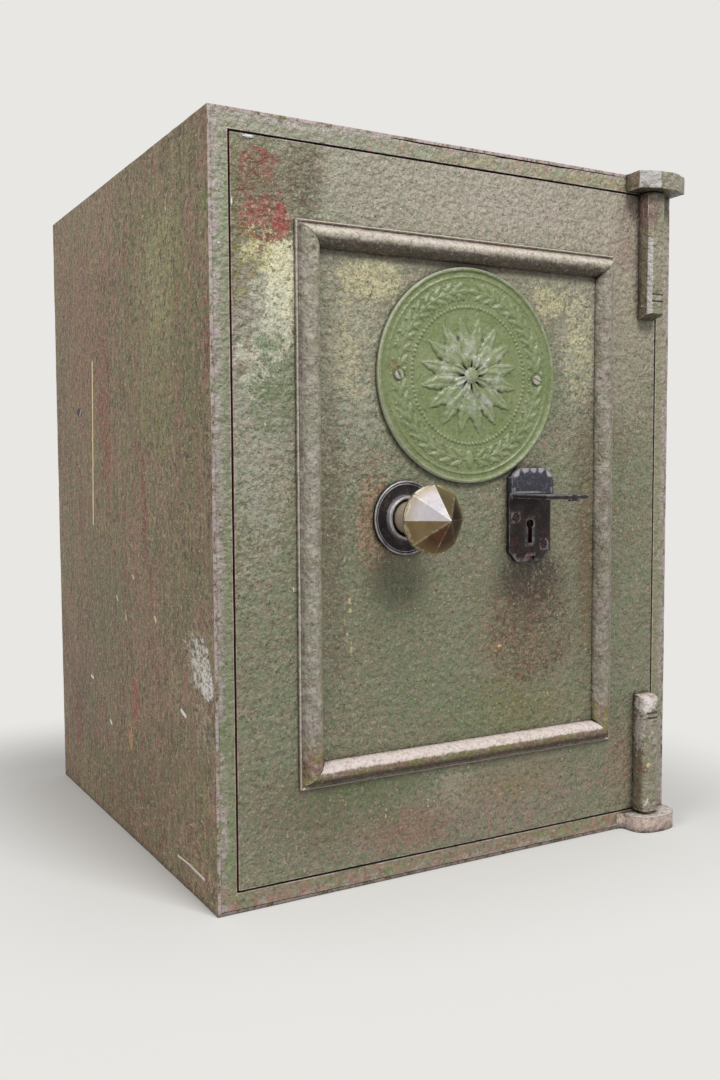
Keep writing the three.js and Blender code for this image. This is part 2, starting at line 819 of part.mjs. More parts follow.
function crank() {
  const bore = roundBar('y', spindleRadius + seatGap, crankFront - overrun, crankBack + overrun, [0, 0, 0]);
  const hub = roundBar('y', crankHubRadius, crankFront, crankBack, [0, 0, 0]);
  const eye = roundBar('y', crankEyeRadius, crankFront, crankBack, [pinX, 0, pinZ]);
  const armSide = crankEyeRadius * Math.cos(pinTurn);
  const armRise = crankEyeRadius * Math.sin(pinTurn);
  const arm = prismY(outline([
    [-armSide, armRise],
    [armSide, -armRise],
    [pinX + armSide, pinZ - armRise],
    [pinX - armSide, pinZ + armRise],
  ]), crankFront, crankBack);
  const pin = roundBar('y', crankPinRadius, crankBack - overrun, barFront + railThickness + seatGap,
    [pinX, 0, pinZ]);
  return union([hub, eye, arm]).subtract(bore).add(pin);
}

const knobGroup = groupAt(door, knobX, knobZ);
piece(knobGroup, 'handle_rose', handleRose(), blackIron);
piece(knobGroup, 'knob', knob(), brass);
piece(knobGroup, 'knob_spindle',
  roundBar('y', spindleRadius, -spindleInKnob, crankBack, [0, 0, 0]), bareSteel);
piece(knobGroup, 'crank', crank(), bareSteel);

// Door case, a four-sided wall with a boss in each corner for the cover's screws
const caseHalfWidth = halfWidth - caseInset;
const coverScrewPlaces = [-1, 1].flatMap((side) => [caseInset, bodyHeight - caseInset].map((edge, index) => [
  side * (caseHalfWidth - coverScrewInset),
  edge + (index ? -coverScrewInset : coverScrewInset),
]));

function doorCase() {
  const wall = bodyRing(caseInset, caseInset + caseWall, caseFront, caseBack);
  const bosses = coverScrewPlaces.map(([x, z]) => block(
    [Math.min(x, Math.sign(x) * caseHalfWidth) - (x > 0 ? coverBossRadius : 0), caseFront,
      z < bodyHeight / 2 ? caseInset : z - coverBossRadius],
    [Math.max(x, Math.sign(x) * caseHalfWidth) + (x < 0 ? coverBossRadius : 0), caseBack,
      z < bodyHeight / 2 ? z + coverBossRadius : bodyHeight - caseInset],
  ));
  const holeRadius = coverScrewShankRadius + screwHoleClearance;
  const screwHoles = coverScrewPlaces.map(([x, z]) => roundBar('y', holeRadius,
    caseBack - coverScrewLength, caseBack + overrun, [x, 0, z], smallFacets));
  const boltHoles = boltHeights.map((z) => roundBar('x', boltRadius + boltHoleClearance,
    caseLeft - overrun, caseLeft + caseWall + overrun, [0, boltDepth, z]));
  return wall.add(union(bosses)).subtract(union([...screwHoles, ...boltHoles]));
}

function caseCover() {
  const holes = coverScrewPlaces.map(([x, z]) => roundBar('y', coverScrewShankRadius + screwHoleClearance,
    coverFront - overrun, coverBack + overrun, [x, 0, z], smallFacets));
  return bodyBlock(caseInset, coverFront, coverBack).subtract(union(holes));
}

function doorPacking() {
  const bosses = coverScrewPlaces.map(([x, z]) => roundBar('y', coverBossRadius * 2 + casePackingGap,
    caseFront, coverBack, [x, 0, z]));
  return bodyBlock(caseInset + caseWall + casePackingGap, caseBack - doorPackingThickness, caseBack)
    .subtract(union(bosses));
}

piece(door, 'door_case', doorCase(), innerPaint);
piece(door, 'door_case_cover', caseCover(), innerPaint);
piece(door, 'door_packing', doorPacking(), packingMaterial);
coverScrewPlaces.forEach(([x, z], index) => {
  const screw = slottedScrew(coverScrewHeadRadius, coverScrewHeadHeight, coverScrewShankRadius,
    coverScrewLength, 0).rotate([0, 0, 180]);
  piece(door, `case_cover_screw_${index + 1}`, screw, bareSteel, [x, coverBack, z]);
});

// Bolt bar: an upright with a rail that carries the crank's slot and the lock's notches
const tongueX = keyX + lockBoltX;

function slotAlongX(x, z, halfHeight, from, to) {
  return block([x - guideRadius - guideSlotClearance, from, z - halfHeight],
    [x + guideRadius + guideSlotClearance + boltTravel, to, z + halfHeight]);
}

function boltBar() {
  const low = boltHeights[0] - barEndMargin;
  const high = boltHeights[2] + barEndMargin;
  const railBack = barFront + railThickness;
  const upright = block([barLeft, barFront, low], [barRight, barBack, high]);
  const rail = block([barRight - overrun, barFront, railZ - railHeight / 2],
    [railEnd, railBack, railZ + railHeight / 2]);
  const tabX = knobX + pinX;
  const slotHalf = crankPinRadius + pinSlotClearance;
  const tab = block([tabX - tabWidth / 2, barFront, knobZ + pinZ - slotHalf * 2],
    [tabX + tabWidth / 2, railBack, railZ]);
  const pinSlot = block([tabX - slotHalf, barFront - overrun, knobZ + pinZ - slotHalf],
    [tabX + slotHalf, railBack + overrun, knobZ + crankThrow + slotHalf]);
  const halfNotch = tongueWidth / 2 + tongueNotchGap;
  const notches = [0, boltTravel].map((shift) => block(
    [tongueX + shift - halfNotch, barFront - overrun, railZ - railHeight / 2 - overrun],
    [tongueX + shift + halfNotch, railBack + overrun,
      keyZ + lockUp + seatGap + tongueTravel + tongueNotchGap],
  ));
  const guideHalf = guideRadius + guideSlotClearance;
  const guideSlots = guideHeights.map((z) => slotAlongX(guideX, z, guideHalf,
    barFront - overrun, barBack + overrun));
  const tailHoles = boltHeights.map((z) => roundBar('x', boltTailRadius + seatGap,
    barLeft - overrun, barLeft + boltTailLength + seatGap, [0, boltDepth, z], smallFacets));
  return union([upright, rail, tab])
    .subtract(union([pinSlot, ...notches, ...guideSlots, ...tailHoles]));
}

function doorBolt(z) {
  const shank = roundBar('x', boltRadius, caseLeft - boltRestOut, barLeft - seatGap, [0, boltDepth, z]);
  const tail = roundBar('x', boltTailRadius, barLeft - overrun, barLeft + boltTailLength,
    [0, boltDepth, z], smallFacets);
  return shank.add(tail);
}

// A headed stud on the door plate that a slot in the bar runs along
function guideStud(back) {
  return roundBar('y', guideRadius, doorThickness + seatGap, back, [0, 0, 0])
    .add(roundBar('y', guideHeadRadius, back + seatGap, back + seatGap + guideHeadThickness, [0, 0, 0]))
    .add(roundBar('y', guideRadius, back - overrun, back + guideHeadThickness, [0, 0, 0]));
}

piece(door, 'bolt_bar', boltBar(), bareSteel);
['lower', 'middle', 'upper'].forEach((name, index) => {
  piece(door, `bolt_${name}`, doorBolt(boltHeights[index]), bareSteel);
});
piece(door, 'bar_guide_lower', guideStud(barBack), bareSteel, [guideX, 0, guideHeights[0]]);
piece(door, 'bar_guide_upper', guideStud(barBack), bareSteel, [guideX, 0, guideHeights[1]]);

const dogFront = lipBack + dogSetback;
piece(door, 'hinge_side_dog', block(
  [caseHalfWidth + seatGap, dogFront, bodyHeight / 2 - dogLength / 2],
  [caseHalfWidth + dogReach, dogFront + dogThickness, bodyHeight / 2 + dogLength / 2],
), bareSteel);

// Lock, about the key's axis
const lockFront = doorThickness + seatGap;
const lockBack = lockFront + lockDepth;
const boltPlateBack = lockBack - seatGap;
const boltPlateFront = boltPlateBack - lockBoltThickness;
const leverFront = lockFront + lockWall + seatGap;

function lockCase() {
  const outside = block([-lockLeft, lockFront, -lockDown], [lockRight, lockBack, lockUp]);
  const inside = block([-lockLeft + lockWall, lockFront + lockWall, -lockDown + lockWall],
    [lockRight - lockWall, lockBack + overrun, lockUp - lockWall]);
  const keyhole = prismY(keyholeOutline(0), lockFront - overrun, lockFront + lockWall + overrun);
  const halfTongue = tongueWidth / 2 + tongueNotchGap / 2;
  const tongueHole = block([lockBoltX - halfTongue, boltPlateFront - seatGap, 0],
    [lockBoltX + halfTongue, lockBack + overrun, lockUp + overrun]);
  return outside.subtract(inside).subtract(keyhole).subtract(tongueHole);
}

function lockCap() {
  const hole = roundBar('y', keyPinRadius + seatGap, lockBack - overrun,
    lockBack + lockCapThickness + overrun, [0, 0, 0], smallFacets);
  return block([-lockLeft, lockBack + seatGap, -lockDown],
    [lockRight, lockBack + seatGap + lockCapThickness, lockUp]).subtract(hole);
}

// Key pin, which a barrel key slides over, riveted into the cap
function keyPin() {
  return roundBar('y', keyPinRadius, lockFront + 2 * lockWall, lockBack + lockCapThickness,
    [0, 0, 0], smallFacets);
}

function lockBolt() {
  const plate = block([lockBoltX - lockBoltWidth / 2, boltPlateFront, -lockBoltDown],
    [lockBoltX + lockBoltWidth / 2, boltPlateBack, lockBoltUp]);
  const tongue = block([lockBoltX - tongueWidth / 2, boltPlateFront, 0],
    [lockBoltX + tongueWidth / 2, boltPlateBack, lockUp]);
  const talon = roundBar('y', lockBoltDown, boltPlateFront - overrun, boltPlateBack + overrun,
    [lockBoltX + lockBoltWidth / 2 + lockBoltDown / 2, 0, lockBoltDown], smallFacets);
  const stump = roundBar('y', stumpRadius, leverFront, boltPlateFront + overrun,
    [lockBoltX, 0, stumpZ], smallFacets);
  return plate.add(tongue).subtract(talon).add(stump);
}

// Lever: a plate on the pivot whose window has two pockets joined by a gate
function lever(index) {
  const front = leverFront + seatGap + index * leverPitch;
  const back = front + leverThickness;
  const left = lockBoltX - leverWidth / 2;
  const right = lockBoltX + leverWidth / 2;
  const gate = stumpRadius + gateClearance;
  const plate = block([left, front, -leverDown], [right, back, leverUp - lockWall]);
  const pockets = [stumpZ, stumpZ + tongueTravel].map((z) => block(
    [lockBoltX - gate - pocketReach, front - overrun, z - gate],
    [lockBoltX + gate, back + overrun, z + gate],
  ));
  const gateCut = block([lockBoltX - gate, front - overrun, stumpZ],
    [lockBoltX + gate, back + overrun, stumpZ + tongueTravel]);
  const pivotHole = roundBar('y', leverPivotRadius + leverPivotClearance, front - overrun, back + overrun,
    [lockBoltX, 0, -leverPivotDrop], smallFacets);
  return plate.subtract(union([...pockets, gateCut, pivotHole]));
}

function leverPivot() {
  return roundBar('y', leverPivotRadius, lockFront + lockWall + seatGap, lockBack,
    [lockBoltX, 0, -leverPivotDrop], smallFacets);
}

const lockGroup = groupAt(door, keyX, keyZ);
piece(lockGroup, 'lock_case', lockCase(), blackIron);
piece(lockGroup, 'lock_cap', lockCap(), brass);
piece(lockGroup, 'key_pin', keyPin(), bareSteel);
piece(lockGroup, 'lock_bolt', lockBolt(), brass);
for (let index = 0; index < leverCount; index += 1) {
  piece(lockGroup, `lever_${index + 1}`, lever(index), brass);
}
piece(lockGroup, 'lever_pivot', leverPivot(), bareSteel);

// Keyhole plate, with the raised block and ears that carry its cover
const blockBottom = coverAxisUp + coverThickness / 2 + upperBlockGap;
const coverAxisOut = escutcheonThickness + seatGap + coverThickness / 2;
const coverEnd = escutcheonDown + coverAxisUp - coverEndGap;

function clippedOutline(halfAcrossPlate, low, high, lowCut, highCut) {
  const points = [];
  points.push([-halfAcrossPlate + lowCut, low], [halfAcrossPlate - lowCut, low]);
  if (lowCut > 0) points.push([halfAcrossPlate, low + lowCut]);
  points.push([halfAcrossPlate, high - highCut]);
  if (highCut > 0) points.push([halfAcrossPlate - highCut, high], [-halfAcrossPlate + highCut, high]);
  points.push([-halfAcrossPlate, high - highCut]);
  if (lowCut > 0) points.push([-halfAcrossPlate, low + lowCut]);
  return outline(points);
}

function escutcheonPlate() {
  const half = escutcheonWidth / 2;
  const base = prismY(clippedOutline(half, -escutcheonDown, escutcheonUp, cornerCut, cornerCut),
    -escutcheonThickness, 0);
  const raised = prismY(clippedOutline(half, blockBottom, escutcheonUp, 0, cornerCut),
    -upperBlockThickness, 0);
  const ears = [-1, 1].map((side) => block(
    [Math.min(side * half, side * (half - earWidth)), -coverAxisOut - earHalfHeight,
      coverAxisUp - earHalfHeight],
    [Math.max(side * half, side * (half - earWidth)), 0, blockBottom + overrun],
  ));
  const keyhole = prismY(keyholeOutline(0), -escutcheonThickness - overrun, overrun);
  const screwSeats = Object.values(escutcheonScrews).map(([x, z]) => roundBar('y',
    escutcheonScrewRadius + screwHoleClearance, -escutcheonThickness - overrun,
    -escutcheonThickness + escutcheonScrewHeadHeight + seatGap, [x, 0, z], smallFacets)
    .add(roundBar('y', escutcheonScrewShankRadius + screwHoleClearance, -escutcheonThickness - overrun,
      overrun, [x, 0, z], smallFacets)));
  const pinHole = roundBar('x', coverPinRadius + coverPinClearance, -half - overrun, half + overrun,
    [0, -coverAxisOut, coverAxisUp], smallFacets);
  const notchHalf = nibWidth / 2 + nibClearance;
  const nibNotch = block([-notchHalf, -escutcheonThickness - overrun, -escutcheonDown - overrun],
    [notchHalf, -escutcheonThickness + nibInner + nibClearance, nibTop]);
  return union([base, raised, ...ears]).subtract(union([keyhole, ...screwSeats, pinHole, nibNotch]));
}

const nibTop = coverAxisUp - coverEnd + nibLength + nibClearance;

// Cover, drawn lifted straight out as it stands in use, hung on its pin
function keyholeCover() {
  const half = escutcheonWidth / 2;
  const rootHalf = half - earWidth - seatGap;
  const halfThick = coverThickness / 2;
  const root = roundBar('x', halfThick, -rootHalf, rootHalf, [0, 0, 0], smallFacets)
    .add(block([-rootHalf, -coverShoulder - overrun, -halfThick], [rootHalf, 0, halfThick]));
  const leaf = prismZ(outline([
    [-half, -coverShoulder],
    [-half, -coverEnd + cornerCut],
    [-half + cornerCut, -coverEnd],
    [half - cornerCut, -coverEnd],
    [half, -coverEnd + cornerCut],
    [half, -coverShoulder],
  ]), -halfThick, halfThick);
  const nib = block([-nibWidth / 2, -coverEnd, -halfThick - nibInner],
    [nibWidth / 2, -coverEnd + nibLength, halfThick + nibOuter]);
  const pinHole = roundBar('x', coverPinRadius + coverPinClearance, -half - overrun, half + overrun,
    [0, 0, 0], smallFacets);
  return union([root, leaf, nib]).subtract(pinHole);
}

const keyGroup = groupAt(door, keyX, keyZ);
piece(keyGroup, 'escutcheon_plate', escutcheonPlate(), blackIron);
for (const [name, [x, z]] of Object.entries(escutcheonScrews)) {
  const screw = slottedScrew(escutcheonScrewRadius, escutcheonScrewHeadHeight, escutcheonScrewShankRadius,
    escutcheonScrewLength, name === 'left' ? -35 : 20);
  piece(keyGroup, `escutcheon_screw_${name}`, screw, blackIron,
    [x, -escutcheonThickness + escutcheonScrewHeadHeight, z]);
}
piece(keyGroup, 'keyhole_cover', keyholeCover(), blackIron, [0, -coverAxisOut, coverAxisUp]);
piece(keyGroup, 'cover_pin', roundBar('x', coverPinRadius, -escutcheonWidth / 2 + seatGap,
  escutcheonWidth / 2 - seatGap, [0, -coverAxisOut, coverAxisUp], smallFacets), bareSteel);

// Hinge posts, about the pivot axis in plan
const upperPostTop = upperLugBottom - pivotEndGap;
const upperPostBottom = upperPostTop - upperPostLength;
const lowerPostBottom = lowerLugThickness + seatGap + pivotWasherThickness + seatGap;
const lowerPostTop = lowerPostBottom + lowerPostLength;

function pivotBore(from, to) {
  return roundBar('z', pivotRadius + seatGap, from, to, [0, -pivotOut, 0]);
}

function groove(z) {
  return block([-postWidth / 2 + postEdgeCut, -postReach - overrun, z - grooveWidth / 2],
    [postWidth / 2 - postEdgeCut, -postReach + grooveDepth, z + grooveWidth / 2]);
}

function upperPost() {
  const half = postWidth / 2;
  const post = prismZ(outline([
    [-half, 0],
    [-half, -postReach + postEdgeCut],
    [-half + postEdgeCut, -postReach],
    [half - postEdgeCut, -postReach],
    [half, -postReach + postEdgeCut],
    [half, 0],
  ]), upperPostBottom, upperPostTop);
  const slope = prismX(outline([
    [0, upperPostBottom],
    [0, upperPostBottom - overrun],
    [-postReach - overrun, upperPostBottom - overrun],
    [-postReach - overrun, upperPostBottom + (postEndSlope * (postReach + overrun)) / postReach],
  ]), -half - overrun, half + overrun);
  const grooves = [0, 1].map((index) => groove(upperPostBottom + upperGrooveRise
    + index * upperGroovePitch));
  return post.subtract(union([slope, ...grooves, pivotBore(upperPostTop - pivotInPost - seatGap,
    upperPostTop + overrun)]));
}

function lowerPost() {
  const half = postWidth / 2;
  const plan = new THREE.Shape();
  plan.moveTo(-half, 0);
  plan.lineTo(-half, -postReach + postEdgeRound);
  plan.quadraticCurveTo(-half, -postReach, -half + postEdgeRound, -postReach);
  plan.lineTo(half - postEdgeRound, -postReach);
  plan.quadraticCurveTo(half, -postReach, half, -postReach + postEdgeRound);
  plan.lineTo(half, 0);
  plan.closePath();
  const side = new THREE.Shape();
  side.moveTo(overrun, lowerPostBottom);
  side.lineTo(overrun, lowerPostTop);
  side.lineTo(0, lowerPostTop);
  side.quadraticCurveTo(-postReach, lowerPostTop, -postReach, lowerPostTop - postEndRound);
  side.lineTo(-postReach, lowerPostBottom);
  side.closePath();
  const grooves = [0, 1].map((index) => groove(lowerPostTop - lowerGrooveDrop
    - index * lowerGroovePitch));
  return prismZ(plan, lowerPostBottom, lowerPostTop)
    .intersect(prismX(side, -half - overrun, half + overrun))
    .subtract(union([...grooves, pivotBore(lowerPostBottom - overrun,
      lowerPostBottom + pivotInPost + seatGap)]));
}

function pivotPin(from, to) {
  return roundBar('z', pivotRadius, from, to, [0, -pivotOut, 0]);
}

const hingeGroup = groupAt(door, pivotX, 0);
piece(hingeGroup, 'upper_hinge_post', upperPost(), greenPaint);
piece(hingeGroup, 'lower_hinge_post', lowerPost(), greenPaint);
piece(hingeGroup, 'upper_pivot_pin',
  pivotPin(upperPostTop - pivotInPost, upperLugBottom + pivotInLug - pivotEndGap), bareSteel);
piece(hingeGroup, 'lower_pivot_pin',
  pivotPin(lowerLugThickness - pivotInLug + pivotEndGap, lowerPostBottom + pivotInPost), bareSteel);

export default strongbox;
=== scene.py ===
import json
import math

import bmesh
import bpy
from mathutils import Matrix, Vector, noise
from mathutils.kdtree import KDTree


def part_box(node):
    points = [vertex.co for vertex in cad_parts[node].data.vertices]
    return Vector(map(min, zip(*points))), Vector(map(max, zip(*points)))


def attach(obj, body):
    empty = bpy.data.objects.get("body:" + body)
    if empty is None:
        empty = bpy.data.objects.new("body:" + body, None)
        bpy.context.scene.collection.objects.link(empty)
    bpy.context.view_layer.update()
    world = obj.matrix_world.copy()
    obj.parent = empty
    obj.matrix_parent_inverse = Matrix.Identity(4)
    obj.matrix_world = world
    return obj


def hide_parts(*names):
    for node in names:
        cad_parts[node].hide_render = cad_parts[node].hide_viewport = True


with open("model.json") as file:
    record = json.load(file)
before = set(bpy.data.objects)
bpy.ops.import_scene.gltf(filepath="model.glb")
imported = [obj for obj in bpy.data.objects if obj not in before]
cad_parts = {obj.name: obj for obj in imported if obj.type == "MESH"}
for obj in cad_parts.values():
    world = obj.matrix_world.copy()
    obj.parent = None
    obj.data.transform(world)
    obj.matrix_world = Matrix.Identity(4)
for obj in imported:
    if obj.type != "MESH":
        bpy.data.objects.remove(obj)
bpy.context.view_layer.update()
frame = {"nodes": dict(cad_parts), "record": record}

MM = 0.001
SHELL_LOW, SHELL_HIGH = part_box("outer_shell")

# The camera, as fitted to the photograph's 720 by 1080 frame
CAMERA_PLACE = (-0.5347, -0.9850, 0.3438)
CAMERA_AZIMUTH = 29.567
CAMERA_PITCH = -3.824
CAMERA_ROLL = -0.296
CAMERA_LENS_MM = 36.09
CAMERA_SENSOR_MM = 36.0


def make_camera():
    data = bpy.data.cameras.new("camera")
    data.lens = CAMERA_LENS_MM
    data.sensor_width = CAMERA_SENSOR_MM
    data.clip_start = 0.01
    camera = bpy.data.objects.new("camera", data)
    bpy.context.scene.collection.objects.link(camera)
    turn = Matrix.Rotation(math.radians(-CAMERA_AZIMUTH), 4, "Z")
    tilt = Matrix.Rotation(math.radians(90 + CAMERA_PITCH), 4, "X")
    roll = Matrix.Rotation(math.radians(CAMERA_ROLL), 4, "Z")
    camera.matrix_world = Matrix.Translation(CAMERA_PLACE) @ turn @ tilt @ roll
    bpy.context.scene.camera = camera


make_camera()


# Colours are picked as display values from 0 to 255
OLIVE = (114, 118, 90)
MOSS = (98, 108, 72)
MAUVE = (134, 120, 114)
BROWN = (100, 84, 70)
DARK = (56, 48, 41)
STONE = (172, 170, 156)
CREAM = (204, 198, 162)
PINKISH = (186, 170, 166)
RED = (150, 62, 56)
RUST = (122, 78, 46)
MUSTARD = (134, 122, 62)
PRIMER = (104, 58, 50)
STRAW = (200, 190, 134)
BLOOM = (190, 190, 190)

SHIFT_WAYS = (1, 1.7, 2.3)  # where a shift of 1 moves a noise to


def linear(tint):
    """The tint as a shader takes it."""
    shares = (value / 255 for value in tint)
    return (*(s / 12.92 if s <= 0.04045 else ((s + 0.055) / 1.055) ** 2.4 for s in shares), 1.0)


class Look:
    """One material, its colour laid on coat by coat. Sizes and places are in the row's frame."""

    def __init__(self, name, metallic=0.0, specular=0.5):
        self.material = bpy.data.materials.new(name)
        self.material.use_nodes = True
        self.nodes = self.material.node_tree.nodes
        self.links = self.material.node_tree.links
        self.shader = self.nodes["Principled BSDF"]
        self.shader.inputs["Metallic"].default_value = metallic
        self.shader.inputs["Specular IOR Level"].default_value = specular
        coordinates = self.nodes.new("ShaderNodeTexCoord")
        self.place = coordinates.outputs["Object"]
        self.x, _, self.z = self.split(self.place)
        self.side, self.front, self.rise = self.split(coordinates.outputs["Normal"])
        self.base = None

    def put(self, value, socket):
        if isinstance(value, bpy.types.NodeSocket):
            self.links.new(value, socket)
        else:
            socket.default_value = value

    def add(self, kind, *values, **settings):
        """A new node with these settings, and these values in its first sockets."""
        node = self.nodes.new(f"ShaderNode{kind}")
        for name, setting in settings.items():
            setattr(node, name, setting)
        for value, socket in zip(values, node.inputs):
            self.put(value, socket)
        return node

    def split(self, vector):
        return self.add("SeparateXYZ", vector).outputs

    def math(self, operation, *values, clamp=False):
        return self.add("Math", *values, operation=operation, use_clamp=clamp).outputs[0]

    def scaled(self, value, factor, more):
        """The value times the factor, plus more."""
        return self.math("MULTIPLY_ADD", value, factor, more)

    def times(self, *values):
        product = values[0]
        for value in values[1:]:
            product = self.math("MULTIPLY", product, value)
        return product

    def vector(self, operation, *values):
        node = self.add("VectorMath", *values, operation=operation)
        return node.outputs["Value" if operation in ("LENGTH", "DOT_PRODUCT") else "Vector"]

    def grain(self, size, detail, rough, stretch=(1, 1, 1), shift=0.0):
        """Noise from 0 to 1 whose lumps have about this size."""
        place = self.add("Mapping", self.place).outputs[0]
        place.node.inputs["Location"].default_value = tuple(shift * way for way in SHIFT_WAYS)
        place.node.inputs["Scale"].default_value = tuple(1 / s for s in stretch)
        node = self.add("TexNoise", place)
        for name, value in (("Scale", 1 / size), ("Detail", detail), ("Roughness", rough)):
            node.inputs[name].default_value = value
        return node.outputs["Fac"]

    def fields(self, size, detail, rough, stretch, shift):
        """Three unrelated noises with lumps of one size."""
        noises = self.grain(size, detail, rough, stretch, shift).node
        return tuple(self.add("SeparateColor", noises.outputs["Color"]).outputs)

    def step(self, value, low, high):
        """0 below low, 1 above high and smooth between; high may be the smaller."""
        (first, last), ends = sorted((low, high)), (0.0, 1.0) if low < high else (1.0, 0.0)
        node = self.add("MapRange", value, first, last, *ends, interpolation_type="SMOOTHSTEP")
        return node.outputs["Result"]

    def sum_step(self, first, second, low, high):
        return self.step(self.math("ADD", first, second), low, high)

    def coat(self, tint, *masks):
        """Tints the colour as far as all the masks, or shares, are set."""
        node = self.add("Mix", self.times(*masks), data_type="RGBA")
        for value, socket in ((self.base, node.inputs[6]), (tint, node.inputs[7])):
            self.put(linear(value) if isinstance(value, tuple) else value, socket)
        self.base = node.outputs[2]

    def ground(self, first, second, field, low, high):
        """The first coat: from one tint to another as a noise rises."""
        self.base = first
        self.coat(second, self.step(field, low, high))

    def flecks(self, field, low, high, strength, tint):
        """Tints the colour where a noise passes from low to high."""
        self.coat(tint, self.step(field, low, high), strength)

    def chips(self, size, low, high, tint, shift, stretch=(1, 1, 1)):
        """Small scattered chips."""
        self.coat(tint, self.step(self.grain(size, 1.0, 0.5, stretch, shift), low, high))

    def from_centre(self, centre, reach):
        """0 at the centre of an ellipsoid in millimetres, 1 on its surface."""
        away = self.vector("SUBTRACT", self.place, tuple(c * MM for c in centre))
        return self.vector("LENGTH", self.vector("DIVIDE", away, tuple(r * MM for r in reach)))

    def stroke(self, start, end, width, torn, size, gaps=0.0):
        """1 close to a line between two points in millimetres, with an edge that noise breaks up.
        Gaps above 0 leaves out that share of it."""
        first = Vector(start) * MM
        run = Vector(end) * MM - first
        away = self.vector("SUBTRACT", self.place, tuple(first))
        reached = self.vector("DOT_PRODUCT", away, tuple(run))
        share = self.math("DIVIDE", reached, run.length_squared, clamp=True)
        nearest = self.vector("MULTIPLY", tuple(run), share)
        distance = self.vector("LENGTH", self.vector("SUBTRACT", away, nearest))
        half = width / 2 * MM
        ragged = self.scaled(self.grain(size, 3.0, 0.7), torn * 2 * half, distance)
        line = self.step(ragged, half * (1.3 + torn), half * (0.7 + torn))
        if not gaps:
            return line
        breaks = self.grain(size * 1.5, 2.0, 0.6, shift=7.0)
        return self.times(line, self.step(breaks, gaps, gaps + 0.08))

    def painted(self, name):
        """How far a named value of the mesh's points is set."""
        return self.add("Attribute", attribute_name=name).outputs["Fac"]

    def edge_wear(self, tint, strength):
        """Finish rubbed off along the edges that the mesh marks."""
        rub = self.step(self.grain(0.007, 4.0, 0.7, shift=12.0), 0.34, 0.58)
        self.coat(tint, self.painted("edge"), rub, strength)

    def grime_and_painted_shade(self, reach=0.012, tint=DARK, strength=0.75):
        """Grime that settles in corners within this reach, with painted shade there: darkens
        wherever ambient occlusion finds surfaces close by.
        """
        corner = self.add("AmbientOcclusion", samples=6)
        corner.inputs["Distance"].default_value = reach
        ragged = self.scaled(self.grain(0.004, 3.0, 0.6, shift=15.0), 0.35, corner.outputs["AO"])
        self.coat(tint, self.step(ragged, 1.02, 0.62), strength)

    def bump(self, height, depth, under=None):
        node = self.add("Bump", 1.0, depth)
        self.put(height, node.inputs["Height"])
        if under is not None:
            self.put(under, node.inputs["Normal"])
        return node.outputs["Normal"]

    def finish(self, roughness, normal=None):
        self.put(self.base, self.shader.inputs["Base Color"])
        self.put(roughness, self.shader.inputs["Roughness"])
        if normal is not None:
            self.put(normal, self.shader.inputs["Normal"])
        return self.material


# The large, middle, small and tiny noises of a paint: lump sizes, and detail, roughness and shift
PAINT_SIZES = (0.045, 0.011, 0.0042, 0.0024)
PAINT_NOISES = ((5.0, 0.6, 0.3), (5.0, 0.68, 1.7), (4.0, 0.72, 3.1), (3.0, 0.75, 5.3))
EVEN = ((1, 1, 1),) * len(PAINT_SIZES)

# Shares of the middle, small and tiny noises in the outline of a patch and of a flake
PATCH = (1.6, 2.6, 2.2)
FINE = (0.7, 1.2, 0.9)
BROAD = (1.7, 0.8, 0.3)
HALF_SUM = 1.4  # half of what FINE sums to, and BROAD

PATCH_FILL = 1.4  # how far a fill of 1 lifts the centre of a patch
FLAKE_RIM = 2.5  # how steeply flakes thin out
FLAKE_RISE, FLAKE_COVER = 0.6, 0.45  # how far their place and their cover lift them

# Depths of runs, dents, pits and dust in the paint, as shares of one depth
RUNS, DENTS, PITS, DUST = 6, 11.0, 2.6, 1.3


